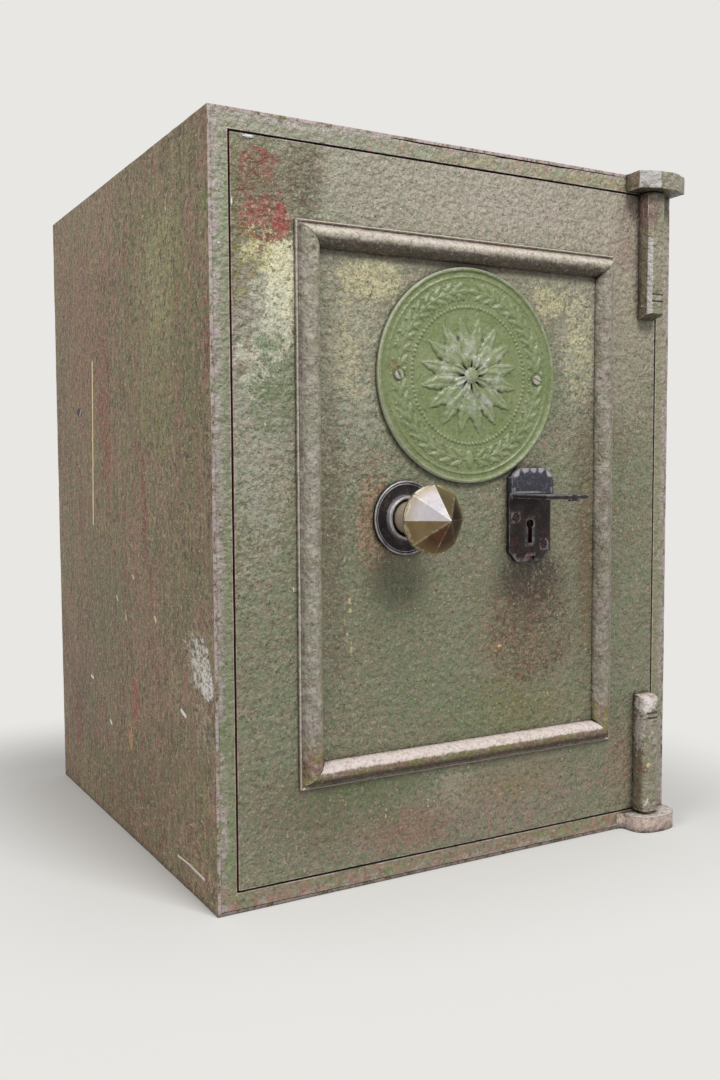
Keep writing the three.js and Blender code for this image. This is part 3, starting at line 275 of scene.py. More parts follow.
class Paint(Look):
    """Old paint: layers of flecks over a ground, all drawn from four shared sets of noises."""

    def __init__(self, name, shift=0.0, specular=0.4, sizes=PAINT_SIZES, stretches=EVEN):
        super().__init__(name, specular=specular)
        self.large, self.middle, self.small, self.tiny = (
            self.fields(size, detail, rough, stretch, start + shift)
            for size, stretch, (detail, rough, start) in zip(sizes, stretches, PAINT_NOISES)
        )

    def ground(self, first, second, low=0.40):
        super().ground(first, second, self.large[0], low, 0.62)

    def lumps(self, table):
        """Each row is (noise channel, low, high, strength, tint)."""
        for channel, *row in table:
            self.flecks(self.middle[channel], *row)

    def specks(self, table, share=1.0):
        """Finer lumps; the share scales every strength."""
        for channel, low, high, strength, tint in table:
            self.flecks(self.small[channel], low, high, strength * share, tint)

    def grit(self, pale, dark, strength):
        self.flecks(self.tiny[0], 0.56, 0.68, strength * 0.8, pale)
        self.flecks(self.tiny[1], 0.45, 0.33, strength, dark)

    def centred(self, field, share):
        """A noise scaled to this share and set about 0."""
        return self.scaled(field, share, -share / 2)

    def density(self, centre, reach):
        """1 at the centre of an ellipsoid in millimetres, falling evenly to 0 at its surface."""
        return self.math("SUBTRACT", 1.0, self.from_centre(centre, reach), clamp=True)

    def patch(self, centre, reach, tint, fill, strength, channel):
        """Flecks of one tint that crowd towards a centre; fill says how far they close up."""
        near = self.density(centre, reach)
        middle, small, tiny = (
            self.centred(field[channel], share)
            for field, share in zip((self.middle, self.small, self.tiny), PATCH)
        )
        torn = self.scaled(near, fill * PATCH_FILL, middle)
        torn = self.math("ADD", torn, self.math("ADD", small, tiny))
        self.coat(tint, self.step(torn, 0.34, 0.66), self.step(near, 0.0, 0.15), strength)

    def flake(self, centre, reach, tint, cover, strength, channel, shares=FINE):
        """Crisp flakes of one tint over an even share of an ellipsoid, thinning out at its edge.
        The shares say how far the middle, small and tiny noises shape them."""
        near = self.math("MULTIPLY", self.density(centre, reach), FLAKE_RIM, clamp=True)
        start = (cover - 0.5) * FLAKE_COVER - FLAKE_RISE - HALF_SUM
        level = self.scaled(near, FLAKE_RISE, start)
        for field, share in zip((self.middle, self.small, self.tiny), shares):
            level = self.scaled(field[channel], share, level)
        self.coat(tint, self.step(level, -0.04, 0.04), strength)

    def patches(self, table, face, depth):
        """Each row is (tint, centre, reach, fill, strength), its places in a flat face."""
        for number, (tint, centre, reach, fill, strength) in enumerate(table):
            self.patch(face(*centre), face(*reach, depth), tint, fill, strength, number % 3)

    def flakes(self, table, face, depth, shares=FINE):
        """Each row is (tint, centre, reach, cover, strength), its places in a flat face."""
        for number, (tint, centre, reach, cover, strength) in enumerate(table):
            place, spread = face(*centre), face(*reach, depth)
            self.flake(place, spread, tint, cover, strength, number % 3, shares)

    def relief(self, depth=0.00030):
        """Brush-thick paint over pitted iron."""
        normal = self.bump(self.large[1], depth * RUNS)
        normal = self.bump(self.grain(0.0062, 2.0, 0.55, shift=9.0), depth * DENTS, normal)
        normal = self.bump(self.grain(0.0030, 3.0, 0.65, shift=6.0), depth * PITS, normal)
        return self.bump(self.tiny[2], depth * DUST, normal)

    def gloss(self, low=0.28, spread=0.36):
        return self.scaled(self.small[1], spread, low)

    def worn_edges(self, tint, strength, low=0.36, high=0.56):
        """Paint rubbed off along the edges that the mesh marks."""
        edge = self.painted("edge")
        rub = self.math("ADD", edge, self.centred(self.middle[1], 1.6))
        bare = self.step(self.scaled(self.small[0], 0.8, rub), low + 0.4, high + 0.4)
        self.coat(tint, bare, self.step(edge, 0.05, 0.35), strength)


# Lumps and specks of the green paint: noise channel, low, high, strength and tint
GREEN_LUMPS = [
    (0, 0.46, 0.60, 0.42, (96, 118, 66)),
    (1, 0.50, 0.63, 0.34, (152, 122, 104)),
    (2, 0.56, 0.68, 0.45, (108, 88, 68)),
]
GREEN_SPECKS = [
    (0, 0.54, 0.64, 0.50, (164, 158, 134)),
    (1, 0.46, 0.36, 0.60, (74, 64, 46)),
    (2, 0.56, 0.66, 0.42, (156, 116, 100)),
    (2, 0.45, 0.35, 0.60, (84, 104, 52)),
]
PALE_GRIT = (184, 176, 150)
DARK_GRIT = (60, 50, 38)

# Door patches in millimetres: tint, centre X and Z, reach X and Z, fill, strength
DOOR_PATCHES = [
    (STONE, (10, 600), (340, 140), 0.75, 0.45),
    (PINKISH, (60, 565), (220, 60), 0.50, 0.50),
    (STONE, (-196, 400), (44, 190), 0.90, 0.50),
    (STONE, (-110, 420), (60, 130), 0.80, 0.40),
    (STONE, (128, 440), (44, 110), 0.80, 0.40),
    (PINKISH, (178, 540), (40, 90), 0.60, 0.45),
    (STRAW, (184, 500), (34, 80), 0.40, 0.35),
    ((96, 88, 66), (-152, 568), (24, 46), 1.20, 0.75),
    (DARK, (-150, 560), (16, 34), 0.60, 0.50),
    ((104, 96, 66), (-196, 560), (34, 60), 0.90, 0.55),
    ((100, 92, 54), (-211, 520), (9, 90), 1.00, 0.65),
    ((178, 182, 164), (-190, 456), (34, 66), 0.80, 0.60),
    ((200, 198, 166), (-174, 470), (26, 60), 0.90, 0.65),
    ((212, 208, 170), (-172, 492), (18, 36), 1.15, 0.80),
    ((104, 120, 84), (-184, 410), (30, 54), 0.85, 0.40),
    ((184, 186, 166), (-200, 430), (14, 34), 0.80, 0.55),
    (MUSTARD, (-200, 496), (20, 34), 0.70, 0.40),
    ((142, 130, 122), (-204, 450), (16, 90), 0.80, 0.45),
    ((174, 162, 146), (180, 505), (60, 160), 1.50, 0.45),
    ((112, 84, 74), (180, 566), (22, 46), 1.10, 0.65),
    ((128, 96, 88), (176, 536), (26, 26), 0.80, 0.50),
    (STRAW, (-92, 493), (46, 26), 0.80, 0.45),
    (STRAW, (88, 489), (34, 26), 0.60, 0.34),
    ((186, 180, 142), (-116, 436), (24, 70), 0.60, 0.40),
    ((186, 180, 142), (124, 450), (26, 72), 0.60, 0.40),
    # Painted shadow: the thin dark band that the top moulding strip casts on the panel just below
    # it
    ((92, 76, 66), (0, 512), (146, 5), 1.30, 0.70),
    (RUST, (-92, 300), (24, 74), 0.80, 0.50),
    ((112, 84, 60), (56, 190), (84, 90), 0.70, 0.50),
    (BROWN, (70, 236), (62, 44), 1.10, 0.70),
    (DARK, (68, 244), (44, 32), 1.10, 0.80),
    # Painted shadow of the knob, cast on the door below it
    (DARK, (-66, 250), (34, 34), 0.65, 0.35),
    (MOSS, (-60, 210), (90, 120), 0.60, 0.40),
    (BROWN, (-130, 300), (18, 220), 0.75, 0.50),
    (BROWN, (128, 300), (20, 220), 0.78, 0.55),
    (RUST, (134, 250), (14, 150), 0.60, 0.45),
    (MAUVE, (0, 50), (260, 60), 0.75, 0.50),
    (MUSTARD, (50, 64), (110, 34), 0.60, 0.45),
    (BROWN, (-150, 70), (90, 60), 0.65, 0.50),
    ((168, 160, 142), (-16, 76), (36, 44), 0.70, 0.55),
    ((92, 112, 66), (-90, 84), (100, 44), 0.90, 0.50),
    ((134, 98, 80), (-60, 40), (80, 30), 0.70, 0.55),
    ((150, 118, 104), (176, 70), (30, 50), 0.80, 0.55),
    ((96, 112, 64), (20, 130), (110, 60), 0.70, 0.45),
    ((122, 114, 68), (70, 130), (80, 50), 0.60, 0.45),
]

# Places where the top coat has flaked: tint, centre X and Z, reach X and Z, cover, strength
DOOR_FLAKES = [
    ((104, 66, 56), (-186, 560), (38, 44), 0.46, 0.60),
    (RED, (-192, 569), (22, 24), 0.52, 0.85),
    (RED, (-186, 530), (32, 28), 0.68, 0.90),
    ((172, 74, 66), (-188, 526), (32, 30), 0.36, 0.80),
    ((112, 48, 44), (-188, 545), (32, 62), 0.34, 0.80),
    ((98, 88, 60), (-196, 548), (30, 56), 0.40, 0.80),
    ((198, 190, 138), (-188, 512), (26, 22), 0.40, 0.80),
    ((196, 190, 164), (170, 520), (50, 70), 0.14, 0.60),
    ((204, 198, 150), (-94, 494), (44, 24), 0.52, 0.75),
    ((204, 198, 150), (88, 492), (30, 26), 0.36, 0.75),
    ((206, 200, 150), (124, 470), (24, 44), 0.30, 0.75),
    ((194, 188, 142), (-108, 444), (40, 80), 0.32, 0.56),
    ((194, 188, 142), (122, 450), (30, 80), 0.33, 0.62),
    ((80, 54, 44), (70, 196), (70, 70), 0.42, 0.80),
    ((150, 108, 78), (46, 190), (60, 60), 0.22, 0.50),
    ((164, 116, 82), (32, 187), (9, 6), 0.62, 0.55),
    ((176, 140, 116), (-95, 300), (22, 60), 0.34, 0.60),
    ((152, 116, 98), (-20, 46), (230, 44), 0.24, 0.55),
    ((84, 62, 52), (0, 60), (260, 90), 0.20, 0.55),
    ((172, 160, 150), (150, 560), (120, 60), 0.26, 0.50),
    ((94, 76, 60), (170, 400), (60, 240), 0.20, 0.42),
]

# Broader blotches where it has come off in sheets
DOOR_BLOTCHES = [
    ((202, 196, 148), (-190, 504), (24, 18), 0.66, 0.80),
    ((214, 210, 174), (-171, 488), (17, 40), 0.80, 0.85),
    ((206, 204, 180), (-176, 456), (20, 46), 0.52, 0.75),
    ((184, 186, 168), (-192, 452), (34, 60), 0.46, 0.65),
    ((92, 112, 70), (-184, 408), (32, 60), 0.52, 0.56),
    ((200, 198, 180), (-196, 424), (24, 40), 0.42, 0.62),
    ((118, 98, 66), (-206, 452), (12, 60), 0.46, 0.55),
    ((132, 122, 60), (-203, 500), (14, 40), 0.50, 0.60),
    ((120, 112, 100), (-200, 470), (20, 50), 0.40, 0.55),
    ((196, 190, 146), (-98, 492), (40, 22), 0.46, 0.65),
    ((196, 190, 146), (90, 488), (28, 24), 0.34, 0.55),
    ((182, 178, 146), (126, 452), (26, 70), 0.34, 0.55),
    ((88, 72, 56), (66, 226), (40, 40), 0.46, 0.60),
    ((140, 126, 112), (60, 56), (150, 44), 0.40, 0.45),
    ((98, 106, 72), (-120, 70), (90, 50), 0.46, 0.45),
    ((170, 160, 146), (60, 572), (200, 44), 0.42, 0.45),
    ((104, 98, 70), (150, 300), (60, 160), 0.40, 0.45),
]

# Scrapes of the door in millimetres: tint, start X and Z, end X and Z, width, strength
DOOR_SCRAPES = [
    ((206, 186, 140), (-114.8, 239), (-114.6, 229), 2.4, 0.85),
    ((206, 186, 140), (-113.7, 203), (-113.9, 194), 1.5, 0.80),
    ((190, 172, 134), (-119.5, 221), (-119.4, 218), 1.6, 0.70),
    ((166, 138, 114), (1.9, 252), (2.1, 226), 2.2, 0.55),
]


DOOR_DEPTH = 400  # how deep a patch of the door reaches, so that its height hardly counts
FACE_Y = -228
# Heights over which the door turns paler towards its top: partly dust, partly painted light from
# above
PALE_TOP_FROM, PALE_TOP_TO = 0.42, 0.54
CORNER_LEFT, CORNER_RIGHT = -0.16, -0.12


def on_front(across, height, depth=FACE_Y):
    return (across, depth, height)


def door_paint():
    paint = Paint("door_paint")
    paint.ground(OLIVE, (119, 114, 88))
    paint.lumps(GREEN_LUMPS)
    paint.coat(BLOOM, 0.09)
    paint.patches(DOOR_PATCHES, on_front, DOOR_DEPTH)
    paint.flakes(DOOR_FLAKES, on_front, DOOR_DEPTH)
    paint.flakes(DOOR_BLOTCHES, on_front, DOOR_DEPTH, BROAD)
    for tint, start, end, width, strength in DOOR_SCRAPES:
        scrape = paint.stroke(on_front(*start), on_front(*end), width, 1.0, 0.0024, 0.42)
        paint.coat(tint, scrape, strength)
    paint.specks(GREEN_SPECKS, 0.90)
    # The upper door is smoother and paler, but for its left corner; the pale tint is partly dust
    # and partly painted light from the lamp above
    upper = paint.step(paint.z, PALE_TOP_FROM, PALE_TOP_TO)
    paint.coat((161, 152, 137), upper, paint.step(paint.x, CORNER_LEFT, CORNER_RIGHT), 0.36)
    paint.grit(PALE_GRIT, DARK_GRIT, 0.72)
    paint.chips(0.0032, 0.770, 0.790, CREAM, 20.0, (1, 1, 1.8))
    paint.chips(0.0030, 0.745, 0.770, PRIMER, 23.0)
    paint.worn_edges(PINKISH, 0.75)
    paint.grime_and_painted_shade()
    paint.coat((150, 88, 76), paint.step(paint.side, -0.5, -0.8), 0.9)
    return paint.finish(paint.gloss(), paint.relief())


# Patches of the skin's left side: tint, centre Y and Z, reach Y and Z, fill, strength
SIDE_PATCHES = [
    ((150, 134, 106), (100, 590), (260, 90), 0.60, 0.5625),
    ((138, 104, 88), (110, 470), (100, 170), 0.80, 0.6875),
    ((126, 128, 84), (-120, 500), (90, 120), 0.90, 0.75),
    ((168, 162, 130), (-112, 505), (64, 110), 0.45, 0.6875),
    ((128, 124, 84), (-100, 400), (60, 90), 0.60, 0.625),
    ((104, 108, 70), (-185, 400), (45, 150), 0.80, 0.625),
    ((110, 104, 76), (80, 210), (150, 130), 0.70, 0.625),
    ((138, 106, 88), (-40, 290), (60, 160), 0.60, 0.5625),
    ((98, 104, 66), (-150, 250), (70, 110), 0.60, 0.5625),
    ((74, 58, 48), (160, 110), (110, 90), 0.60, 0.5625),
    ((150, 116, 96), (-60, 116), (90, 70), 0.50, 0.50),
    ((170, 162, 146), (-194, 192), (34, 34), 0.60, 0.6875),
    ((176, 166, 150), (-206, 150), (26, 40), 0.50, 0.50),
    ((84, 74, 56), (-20, 60), (250, 120), 0.45, 0.45),
]

# Reddish upright streaks there: tint, centre Y and Z, reach Y and Z, cover, strength
SIDE_STREAKS = [
    ((126, 58, 54), (-28, 524), (16, 40), 0.55, 0.70),
    ((120, 54, 50), (-158, 482), (10, 34), 0.60, 0.70),
    ((122, 58, 52), (44, 400), (30, 120), 0.50, 0.75),
    ((150, 84, 66), (36, 370), (16, 100), 0.44, 0.70),
    ((150, 150, 96), (-130, 500), (60, 80), 0.30, 0.60),
    ((88, 96, 58), (-190, 330), (50, 160), 0.34, 0.55),
    ((80, 86, 54), (-90, 80), (120, 80), 0.36, 0.62),
    ((76, 62, 48), (60, 200), (150, 120), 0.30, 0.50),
    ((116, 52, 50), (-68, 310), (8, 70), 0.78, 0.85),
    ((122, 58, 52), (-84, 236), (6, 46), 0.66, 0.75),
    ((122, 60, 52), (-13, 270), (5, 90), 0.60, 0.60),
    ((150, 78, 66), (-34, 132), (16, 40), 0.66, 0.75),
    ((196, 140, 92), (-18, 96), (7, 18), 0.90, 0.80),
    ((118, 56, 56), (162, 76), (26, 50), 0.55, 0.65),
    ((112, 54, 52), (-221, 448), (8, 60), 0.60, 0.65),
    ((120, 56, 52), (130, 300), (9, 50), 0.55, 0.65),
    ((210, 208, 198), (-200, 190), (30, 32), 0.56, 0.88),
    ((224, 222, 216), (-212, 178), (18, 18), 0.72, 0.90),
    ((200, 198, 186), (-178, 206), (24, 14), 0.46, 0.80),
]

# Scratches and chips there: tint, start Y and Z, end Y and Z, width. From the camera, lengths
# in Y look a third as long.
SIDE_SCRATCHES = [
    ((236, 212, 162), (83, 449), (91.6, 289), 3.4),
    ((48, 46, 50), (129, 402), (139, 401), 9.0),
    ((164, 160, 158), (127, 404), (132, 399), 3.0),
    ((164, 160, 158), (139, 396), (141, 399), 2.4),
    ((232, 228, 220), (111, 131.6), (103, 130.8), 3.0),
    ((230, 226, 218), (46, 98), (42, 96), 3.4),
    ((226, 222, 210), (-154, 147), (-164, 144), 3.4),
    ((206, 200, 190), (-140, 21.5), (-168, 22.5), 2.0),
    ((206, 200, 190), (-168, 22.5), (-200, 21), 2.4),
    ((224, 212, 186), (-33, 247), (-35, 245), 2.4),
    ((224, 206, 170), (16.6, 223), (14.6, 220), 2.6),
    ((226, 206, 176), (-92, 216), (-95, 213), 3.0),
    ((216, 196, 166), (-10, 208), (-12, 205), 2.4),
]


SKIN_X = -232
SIDE_DEPTH = 60
SKIN_SIZES = (0.045, 0.0080, 0.0034, 0.0019)
SKIN_STRETCHES = ((1, 1.7, 1), (1, 1.7, 3.4), (1, 1.7, 1.7), (1, 1.7, 1))


def on_side(along, height, depth=SKIN_X):
    return (depth, along, height)


def side_paint():
    """The skin: browner than the front, with soft upright streaks."""
    paint = Paint("skin_paint", 11.0, 0.2, SKIN_SIZES, SKIN_STRETCHES)
    paint.ground((114, 106, 80), (132, 108, 90))
    wide = paint.grain(0.020, 4.0, 0.65, (1, 1.7, 8), 42.0)
    paint.flecks(wide, 0.49, 0.60, 0.65, (116, 120, 78))
    paint.flecks(wide, 0.46, 0.36, 0.60, (136, 96, 82))
    paint.lumps([
        (0, 0.49, 0.58, 0.55, (112, 114, 74)),
        (1, 0.50, 0.58, 0.60, (152, 118, 102)),
        (2, 0.53, 0.63, 0.60, (86, 66, 50)),
    ])
    streak = paint.grain(0.0060, 4.0, 0.7, (1, 1.7, 14), 40.0)
    paint.flecks(streak, 0.55, 0.64, 0.42, (164, 150, 120))
    paint.flecks(streak, 0.45, 0.36, 0.42, (82, 60, 48))
    red = paint.step(paint.grain(0.0042, 4.0, 0.75, (1, 1.7, 12), 44.0), 0.55, 0.62)
    red_place = paint.step(paint.grain(0.070, 2.0, 0.5, (1, 1, 2), 46.0), 0.44, 0.56)
    paint.coat((122, 60, 52), red, red_place, 0.60)
    paint.patches(SIDE_PATCHES, on_side, SIDE_DEPTH)
    paint.flakes(SIDE_STREAKS, on_side, SIDE_DEPTH)
    paint.specks([
        (0, 0.53, 0.61, 0.65, (172, 152, 122)),
        (1, 0.47, 0.39, 0.75, (62, 46, 38)),
        (2, 0.55, 0.63, 0.60, (146, 90, 78)),
        (2, 0.45, 0.37, 0.65, (94, 106, 60)),
    ])
    paint.grit((196, 182, 152), (48, 36, 30), 0.85)
    for tint, start, end, width in SIDE_SCRATCHES:
        paint.coat(tint, paint.stroke(on_side(*start), on_side(*end), width, 0.6, 0.0024), 0.92)
    paint.chips(0.0026, 0.755, 0.775, (200, 182, 146), 50.0, (1, 1.6, 1))
    front_edge = paint.step(paint.front, -0.60, -0.90)
    torn = paint.sum_step(paint.small[2], paint.middle[0], 0.86, 1.06)
    paint.coat((180, 164, 164), front_edge, torn, 0.85)
    paint.worn_edges((176, 160, 150), 0.7, 0.40, 0.62)
    paint.grime_and_painted_shade(0.010)
    return paint.finish(paint.gloss(0.36, 0.30), paint.relief(0.00024))


# Flakes along the top of the frame: tint, centre X and Z, reach X and Z, cover, strength, channel
FRAME_FLAKES = [
    ((166, 158, 104), (80, 598), (170, 16), 0.30, 0.55, 1),
    ((156, 116, 104), (40, 598), (220, 16), 0.30, 0.60, 2),
]


def frame_paint():
    """The front bar: smoother and greener than the door, rubbed pinkish on its outer edge."""
    paint = Paint("frame_paint", 21.0)
    paint.ground((124, 132, 100), (132, 128, 108))
    paint.lumps([
        (0, 0.48, 0.60, 0.45, (110, 124, 84)),
        (1, 0.50, 0.62, 0.50, (152, 142, 130)),
        (2, 0.60, 0.72, 0.40, (114, 96, 76)),
    ])
    # Paler towards the top: painted light from above
    paint.coat((178, 176, 164), paint.step(paint.z, 0.10, 0.60), 0.25)
    # How far in a point lies from the outline that the body shows from the front
    middle = (SHELL_LOW.z + SHELL_HIGH.z) / 2
    across = paint.math("SUBTRACT", SHELL_HIGH.x, paint.math("ABSOLUTE", paint.x))
    up = paint.math("ABSOLUTE", paint.math("SUBTRACT", paint.z, middle))
    inset = paint.math("MINIMUM", across, paint.math("SUBTRACT", SHELL_HIGH.z - middle, up))
    left_bar = paint.step(paint.x, -0.212, -0.216)
    paint.coat((122, 134, 96), left_bar, paint.step(inset, 0.009, 0.013), 0.40)
    hinge_bar = paint.step(paint.x, 0.06, 0.20)
    paint.coat((146, 140, 112), hinge_bar, 0.60)
    outer_edge = paint.step(paint.scaled(paint.middle[0], 0.014, inset), 0.0175, 0.0125)
    torn = paint.sum_step(paint.small[0], paint.middle[2], 0.90, 1.10)
    paint.coat((174, 160, 160), outer_edge, torn, 0.85)
    foot = paint.step(paint.z, 0.030, 0.016)
    rusty = paint.sum_step(paint.small[2], paint.middle[1], 0.94, 1.10)
    paint.coat((148, 112, 96), foot, rusty, 0.75)
    paint.coat((160, 112, 72), foot, paint.step(paint.small[1], 0.58, 0.64), 0.80)
    paint.specks(GREEN_SPECKS, 0.75)
    for tint, centre, reach, cover, strength, channel in FRAME_FLAKES:
        paint.flake(on_front(*centre), on_front(*reach, 60), tint, cover, strength, channel)
    paint.grit((196, 188, 172), (74, 62, 54), 0.50)
    paint.chips(0.0028, 0.775, 0.795, CREAM, 62.0)
    paint.chips(0.0024, 0.750, 0.775, PRIMER, 64.0)
    paint.worn_edges((186, 170, 164), 0.85, 0.24, 0.52)
    paint.grime_and_painted_shade(0.006)
    return paint.finish(paint.gloss(0.24, 0.36), paint.relief())


def moulding_paint():
    """Rubbed pale and given a painted highlight where it faces up, painted shade below, with a
    mustard streak inside the left strip.
    """
    paint = Paint("moulding_paint", 31.0)
    rise, middle, small = paint.rise, paint.middle, paint.small
    paint.ground((148, 144, 124), (156, 146, 136))
    paint.lumps([
        (0, 0.48, 0.60, 0.60, (178, 170, 162)),
        (1, 0.53, 0.64, 0.55, (112, 86, 74)),
        (2, 0.52, 0.64, 0.50, (112, 118, 86)),
    ])
    inner_left = paint.times(paint.step(paint.side, 0.30, 0.60), paint.step(paint.x, 0.0, -0.05))
    paint.coat(MUSTARD, inner_left, paint.sum_step(middle[2], small[1], 0.85, 1.10), 0.75)
    paint.coat((198, 196, 184), paint.step(paint.x, 0.12, -0.12), 0.14)
    # Pale dust with a painted highlight where the strips face up
    faces_up = paint.step(rise, 0.10, 0.60)
    paint.coat((212, 199, 189), faces_up, paint.step(middle[1], 0.26, 0.48), 0.76)
    # The bottom strip: pale on its upper slope, from dust and a painted highlight from above; brown
    # and green under it
    lowest = paint.step(paint.z, 0.135, 0.115)
    torn = paint.scaled(small[2], 0.5, paint.scaled(middle[2], 0.6, rise))
    slope = paint.times(paint.step(torn, 0.72, 0.98), lowest)
    under = paint.times(paint.step(torn, 0.90, 0.66), lowest)
    paint.coat((224, 208, 202), slope, paint.step(small[0], 0.34, 0.50), 0.80)
    paint.coat((120, 82, 62), under, paint.step(middle[0], 0.38, 0.50), 0.80)
    paint.coat((122, 128, 66), under, paint.step(middle[1], 0.50, 0.58), 0.80)
    # Painted shade: dark brown where the strips face down, less so on the bottom strip
    shaded = paint.scaled(lowest, 0.42, paint.scaled(middle[0], 0.7, rise))
    paint.coat((60, 44, 39), paint.step(shaded, 0.50, -0.04), 0.82)
    paint.specks(GREEN_SPECKS, 0.8)
    paint.grit((202, 192, 178), (58, 44, 40), 0.55)
    # More painted highlight on the bottom strip's upper slope
    paint.coat((226, 212, 208), slope, 0.30)
    paint.worn_edges((188, 174, 160), 0.70, 0.36, 0.70)
    paint.grime_and_painted_shade(0.008, (44, 32, 27), 0.92)
    return paint.finish(paint.gloss(0.36, 0.30), paint.relief(0.00026))


# Patches of the hinges in millimetres: tint, centre, reach, fill, strength
HINGE_PATCHES = [
    ((116, 82, 82), (196, -240, 575), (12, 30, 22), 1.20, 0.75),
    ((120, 98, 92), (204, -258, 600), (40, 14, 14), 0.50, 0.40),
    ((224, 214, 210), (197, -240, 120), (12, 16, 10), 1.60, 0.92),
    ((198, 192, 188), (192, -236, 96), (4, 14, 30), 0.80, 0.60),
    ((112, 76, 62), (194, -240, 58), (9, 12, 10), 0.80, 0.70),
    ((206, 184, 176), (206, -240, 6), (60, 60, 16), 1.40, 0.85),
    ((148, 122, 116), (206, -262, 4), (46, 16, 9), 0.80, 0.60),
    ((120, 102, 82), (180, -240, 602), (14, 40, 14), 1.20, 0.60),
]

# Scratches of the hinges in millimetres: tint, start, end, width
HINGE_SCRATCHES = [
    ((206, 198, 196), (195, -243, 590.5), (199, -244, 589), 3.0),
    ((206, 202, 204), (192.5, -241, 553), (194.5, -243, 548), 4.0),
    ((212, 198, 160), (197, -244, 82), (203, -244, 96), 3.6),
    ((218, 198, 160), (195, -244, 59), (199, -244, 64), 4.2),
    ((224, 210, 196), (195, -244, 23), (200, -244, 31), 4.2),
]


def plate_paint():
    """The round plate: fresh green in its hollows, rubbed grey on the crests of its relief."""
    paint = Paint("plate_paint", 41.0)
    paint.ground((118, 130, 84), (128, 138, 96), 0.38)
    paint.lumps([(0, 0.52, 0.64, 0.40, (106, 118, 72)), (1, 0.54, 0.66, 0.35, (144, 148, 116))])
    crest = paint.painted("crest")
    paint.coat((156, 164, 134), crest, 0.40)
    paint.coat((190, 192, 186), crest, paint.step(paint.middle[1], 0.46, 0.60), 0.60)
    paint.specks([(0, 0.56, 0.66, 0.40, (158, 164, 134)), (1, 0.44, 0.34, 0.50, (72, 82, 48))])
    paint.flake((-76, FACE_Y, 426), (9, 60, 7), (150, 98, 72), 0.50, 0.55, 1)
    paint.grit((172, 176, 150), (60, 68, 42), 0.40)
    paint.grime_and_painted_shade(0.0035, (44, 50, 30), 0.92)
    paint.worn_edges((188, 180, 170), 0.70, 0.20, 0.50)
    return paint.finish(paint.gloss(0.20, 0.28), paint.relief(0.00012))


# Heights between which the upper post's chamfer and the upper lug's are rubbed bare
POST_FOOT, POST_FOOT_END, POST_TOP, POST_TOP_END = 0.30, 0.32, 0.546, 0.553
LUG_FOOT, LUG_FOOT_END = 0.592, 0.594


def hinge_paint():
    """Rubbed grey on the upper hinge's slanting faces, dusty with a painted highlight on top, and
    painted shade underneath.
    """
    paint = Paint("hinge_paint", 51.0)
    side, rise, z = paint.side, paint.rise, paint.z
    paint.ground((136, 134, 110), (146, 136, 120))
    paint.lumps([
        (0, 0.48, 0.60, 0.55, (120, 126, 92)),
        (1, 0.55, 0.66, 0.45, (124, 92, 76)),
        (2, 0.52, 0.62, 0.50, (172, 162, 154)),
    ])
    paint.coat((98, 82, 66), paint.step(side, -0.80, -0.97), 0.70)
    for tint, centre, reach, fill, strength in HINGE_PATCHES:
        paint.patch(centre, reach, tint, fill, strength, 0)
    # Pale dust and a painted highlight where the hinge faces up
    dust_and_highlight = paint.step(paint.middle[0], 0.24, 0.46)
    paint.coat((222, 210, 206), paint.step(rise, 0.15, 0.75), dust_and_highlight, 0.88)
    # Painted shade: dark where it faces down
    paint.coat((62, 50, 38), paint.step(rise, -0.10, -0.70), 0.80)
    paint.specks(GREEN_SPECKS, 0.75)
    for tint, start, end, width in HINGE_SCRATCHES:
        paint.coat(tint, paint.stroke(start, end, width, 1.8, 0.0020, 0.48), 0.8)
    paint.chips(0.0034, 0.75, 0.78, (222, 212, 194), 92.0)
    paint.grit((198, 190, 172), (58, 46, 38), 0.50)
    oblique = paint.times(paint.step(side, -0.20, -0.36), paint.step(side, -0.95, -0.80))
    worn = paint.sum_step(paint.middle[2], paint.large[0], 0.66, 0.90)
    post_top = paint.step(z, POST_TOP_END, POST_TOP)
    post = paint.times(post_top, paint.step(z, POST_FOOT, POST_FOOT_END))
    bared = paint.math("MAXIMUM", post, paint.step(z, LUG_FOOT, LUG_FOOT_END))
    paint.coat((178, 176, 174), oblique, worn, bared, 0.74)
    paint.worn_edges((186, 178, 170), 0.60, 0.50, 0.74)
    paint.grime_and_painted_shade(0.010, (46, 34, 27), 0.9)
    return paint.finish(paint.gloss(0.24, 0.36), paint.relief(0.00036))


# Spots of the keyhole plate and its cover in millimetres: tint, centre, reach
IRON_SPOTS = [
    ((176, 174, 182), (56.0, -236, 341.5), (3.4, 6, 3.4)),
    ((176, 174, 182), (65.0, -236, 342.0), (3.2, 6, 3.0)),
    ((176, 174, 182), (73.0, -236, 341.5), (3.0, 6, 3.2)),
    ((186, 182, 188), (46.0, -236, 339), (3.5, 6, 4.0)),
    ((186, 182, 188), (83.0, -236, 339), (3.5, 6, 4.0)),
    ((178, 174, 178), (60.0, -236, 321), (17, 5, 1.6)),
    ((86, 46, 40), (48.9, -233, 299.6), (3.6, 6, 3.6)),
    ((74, 42, 36), (79.0, -233, 275.0), (3.6, 6, 3.6)),
    ((124, 84, 76), (64.0, -233, 264.5), (5.0, 6, 2.6)),
    ((160, 156, 160), (60.0, -262, 319), (9, 6, 4)),
    ((150, 148, 154), (70.0, -284, 318), (8, 5, 4)),
]
SPOT_SOFT, SPOT_RAGGED = 0.3, 0.5


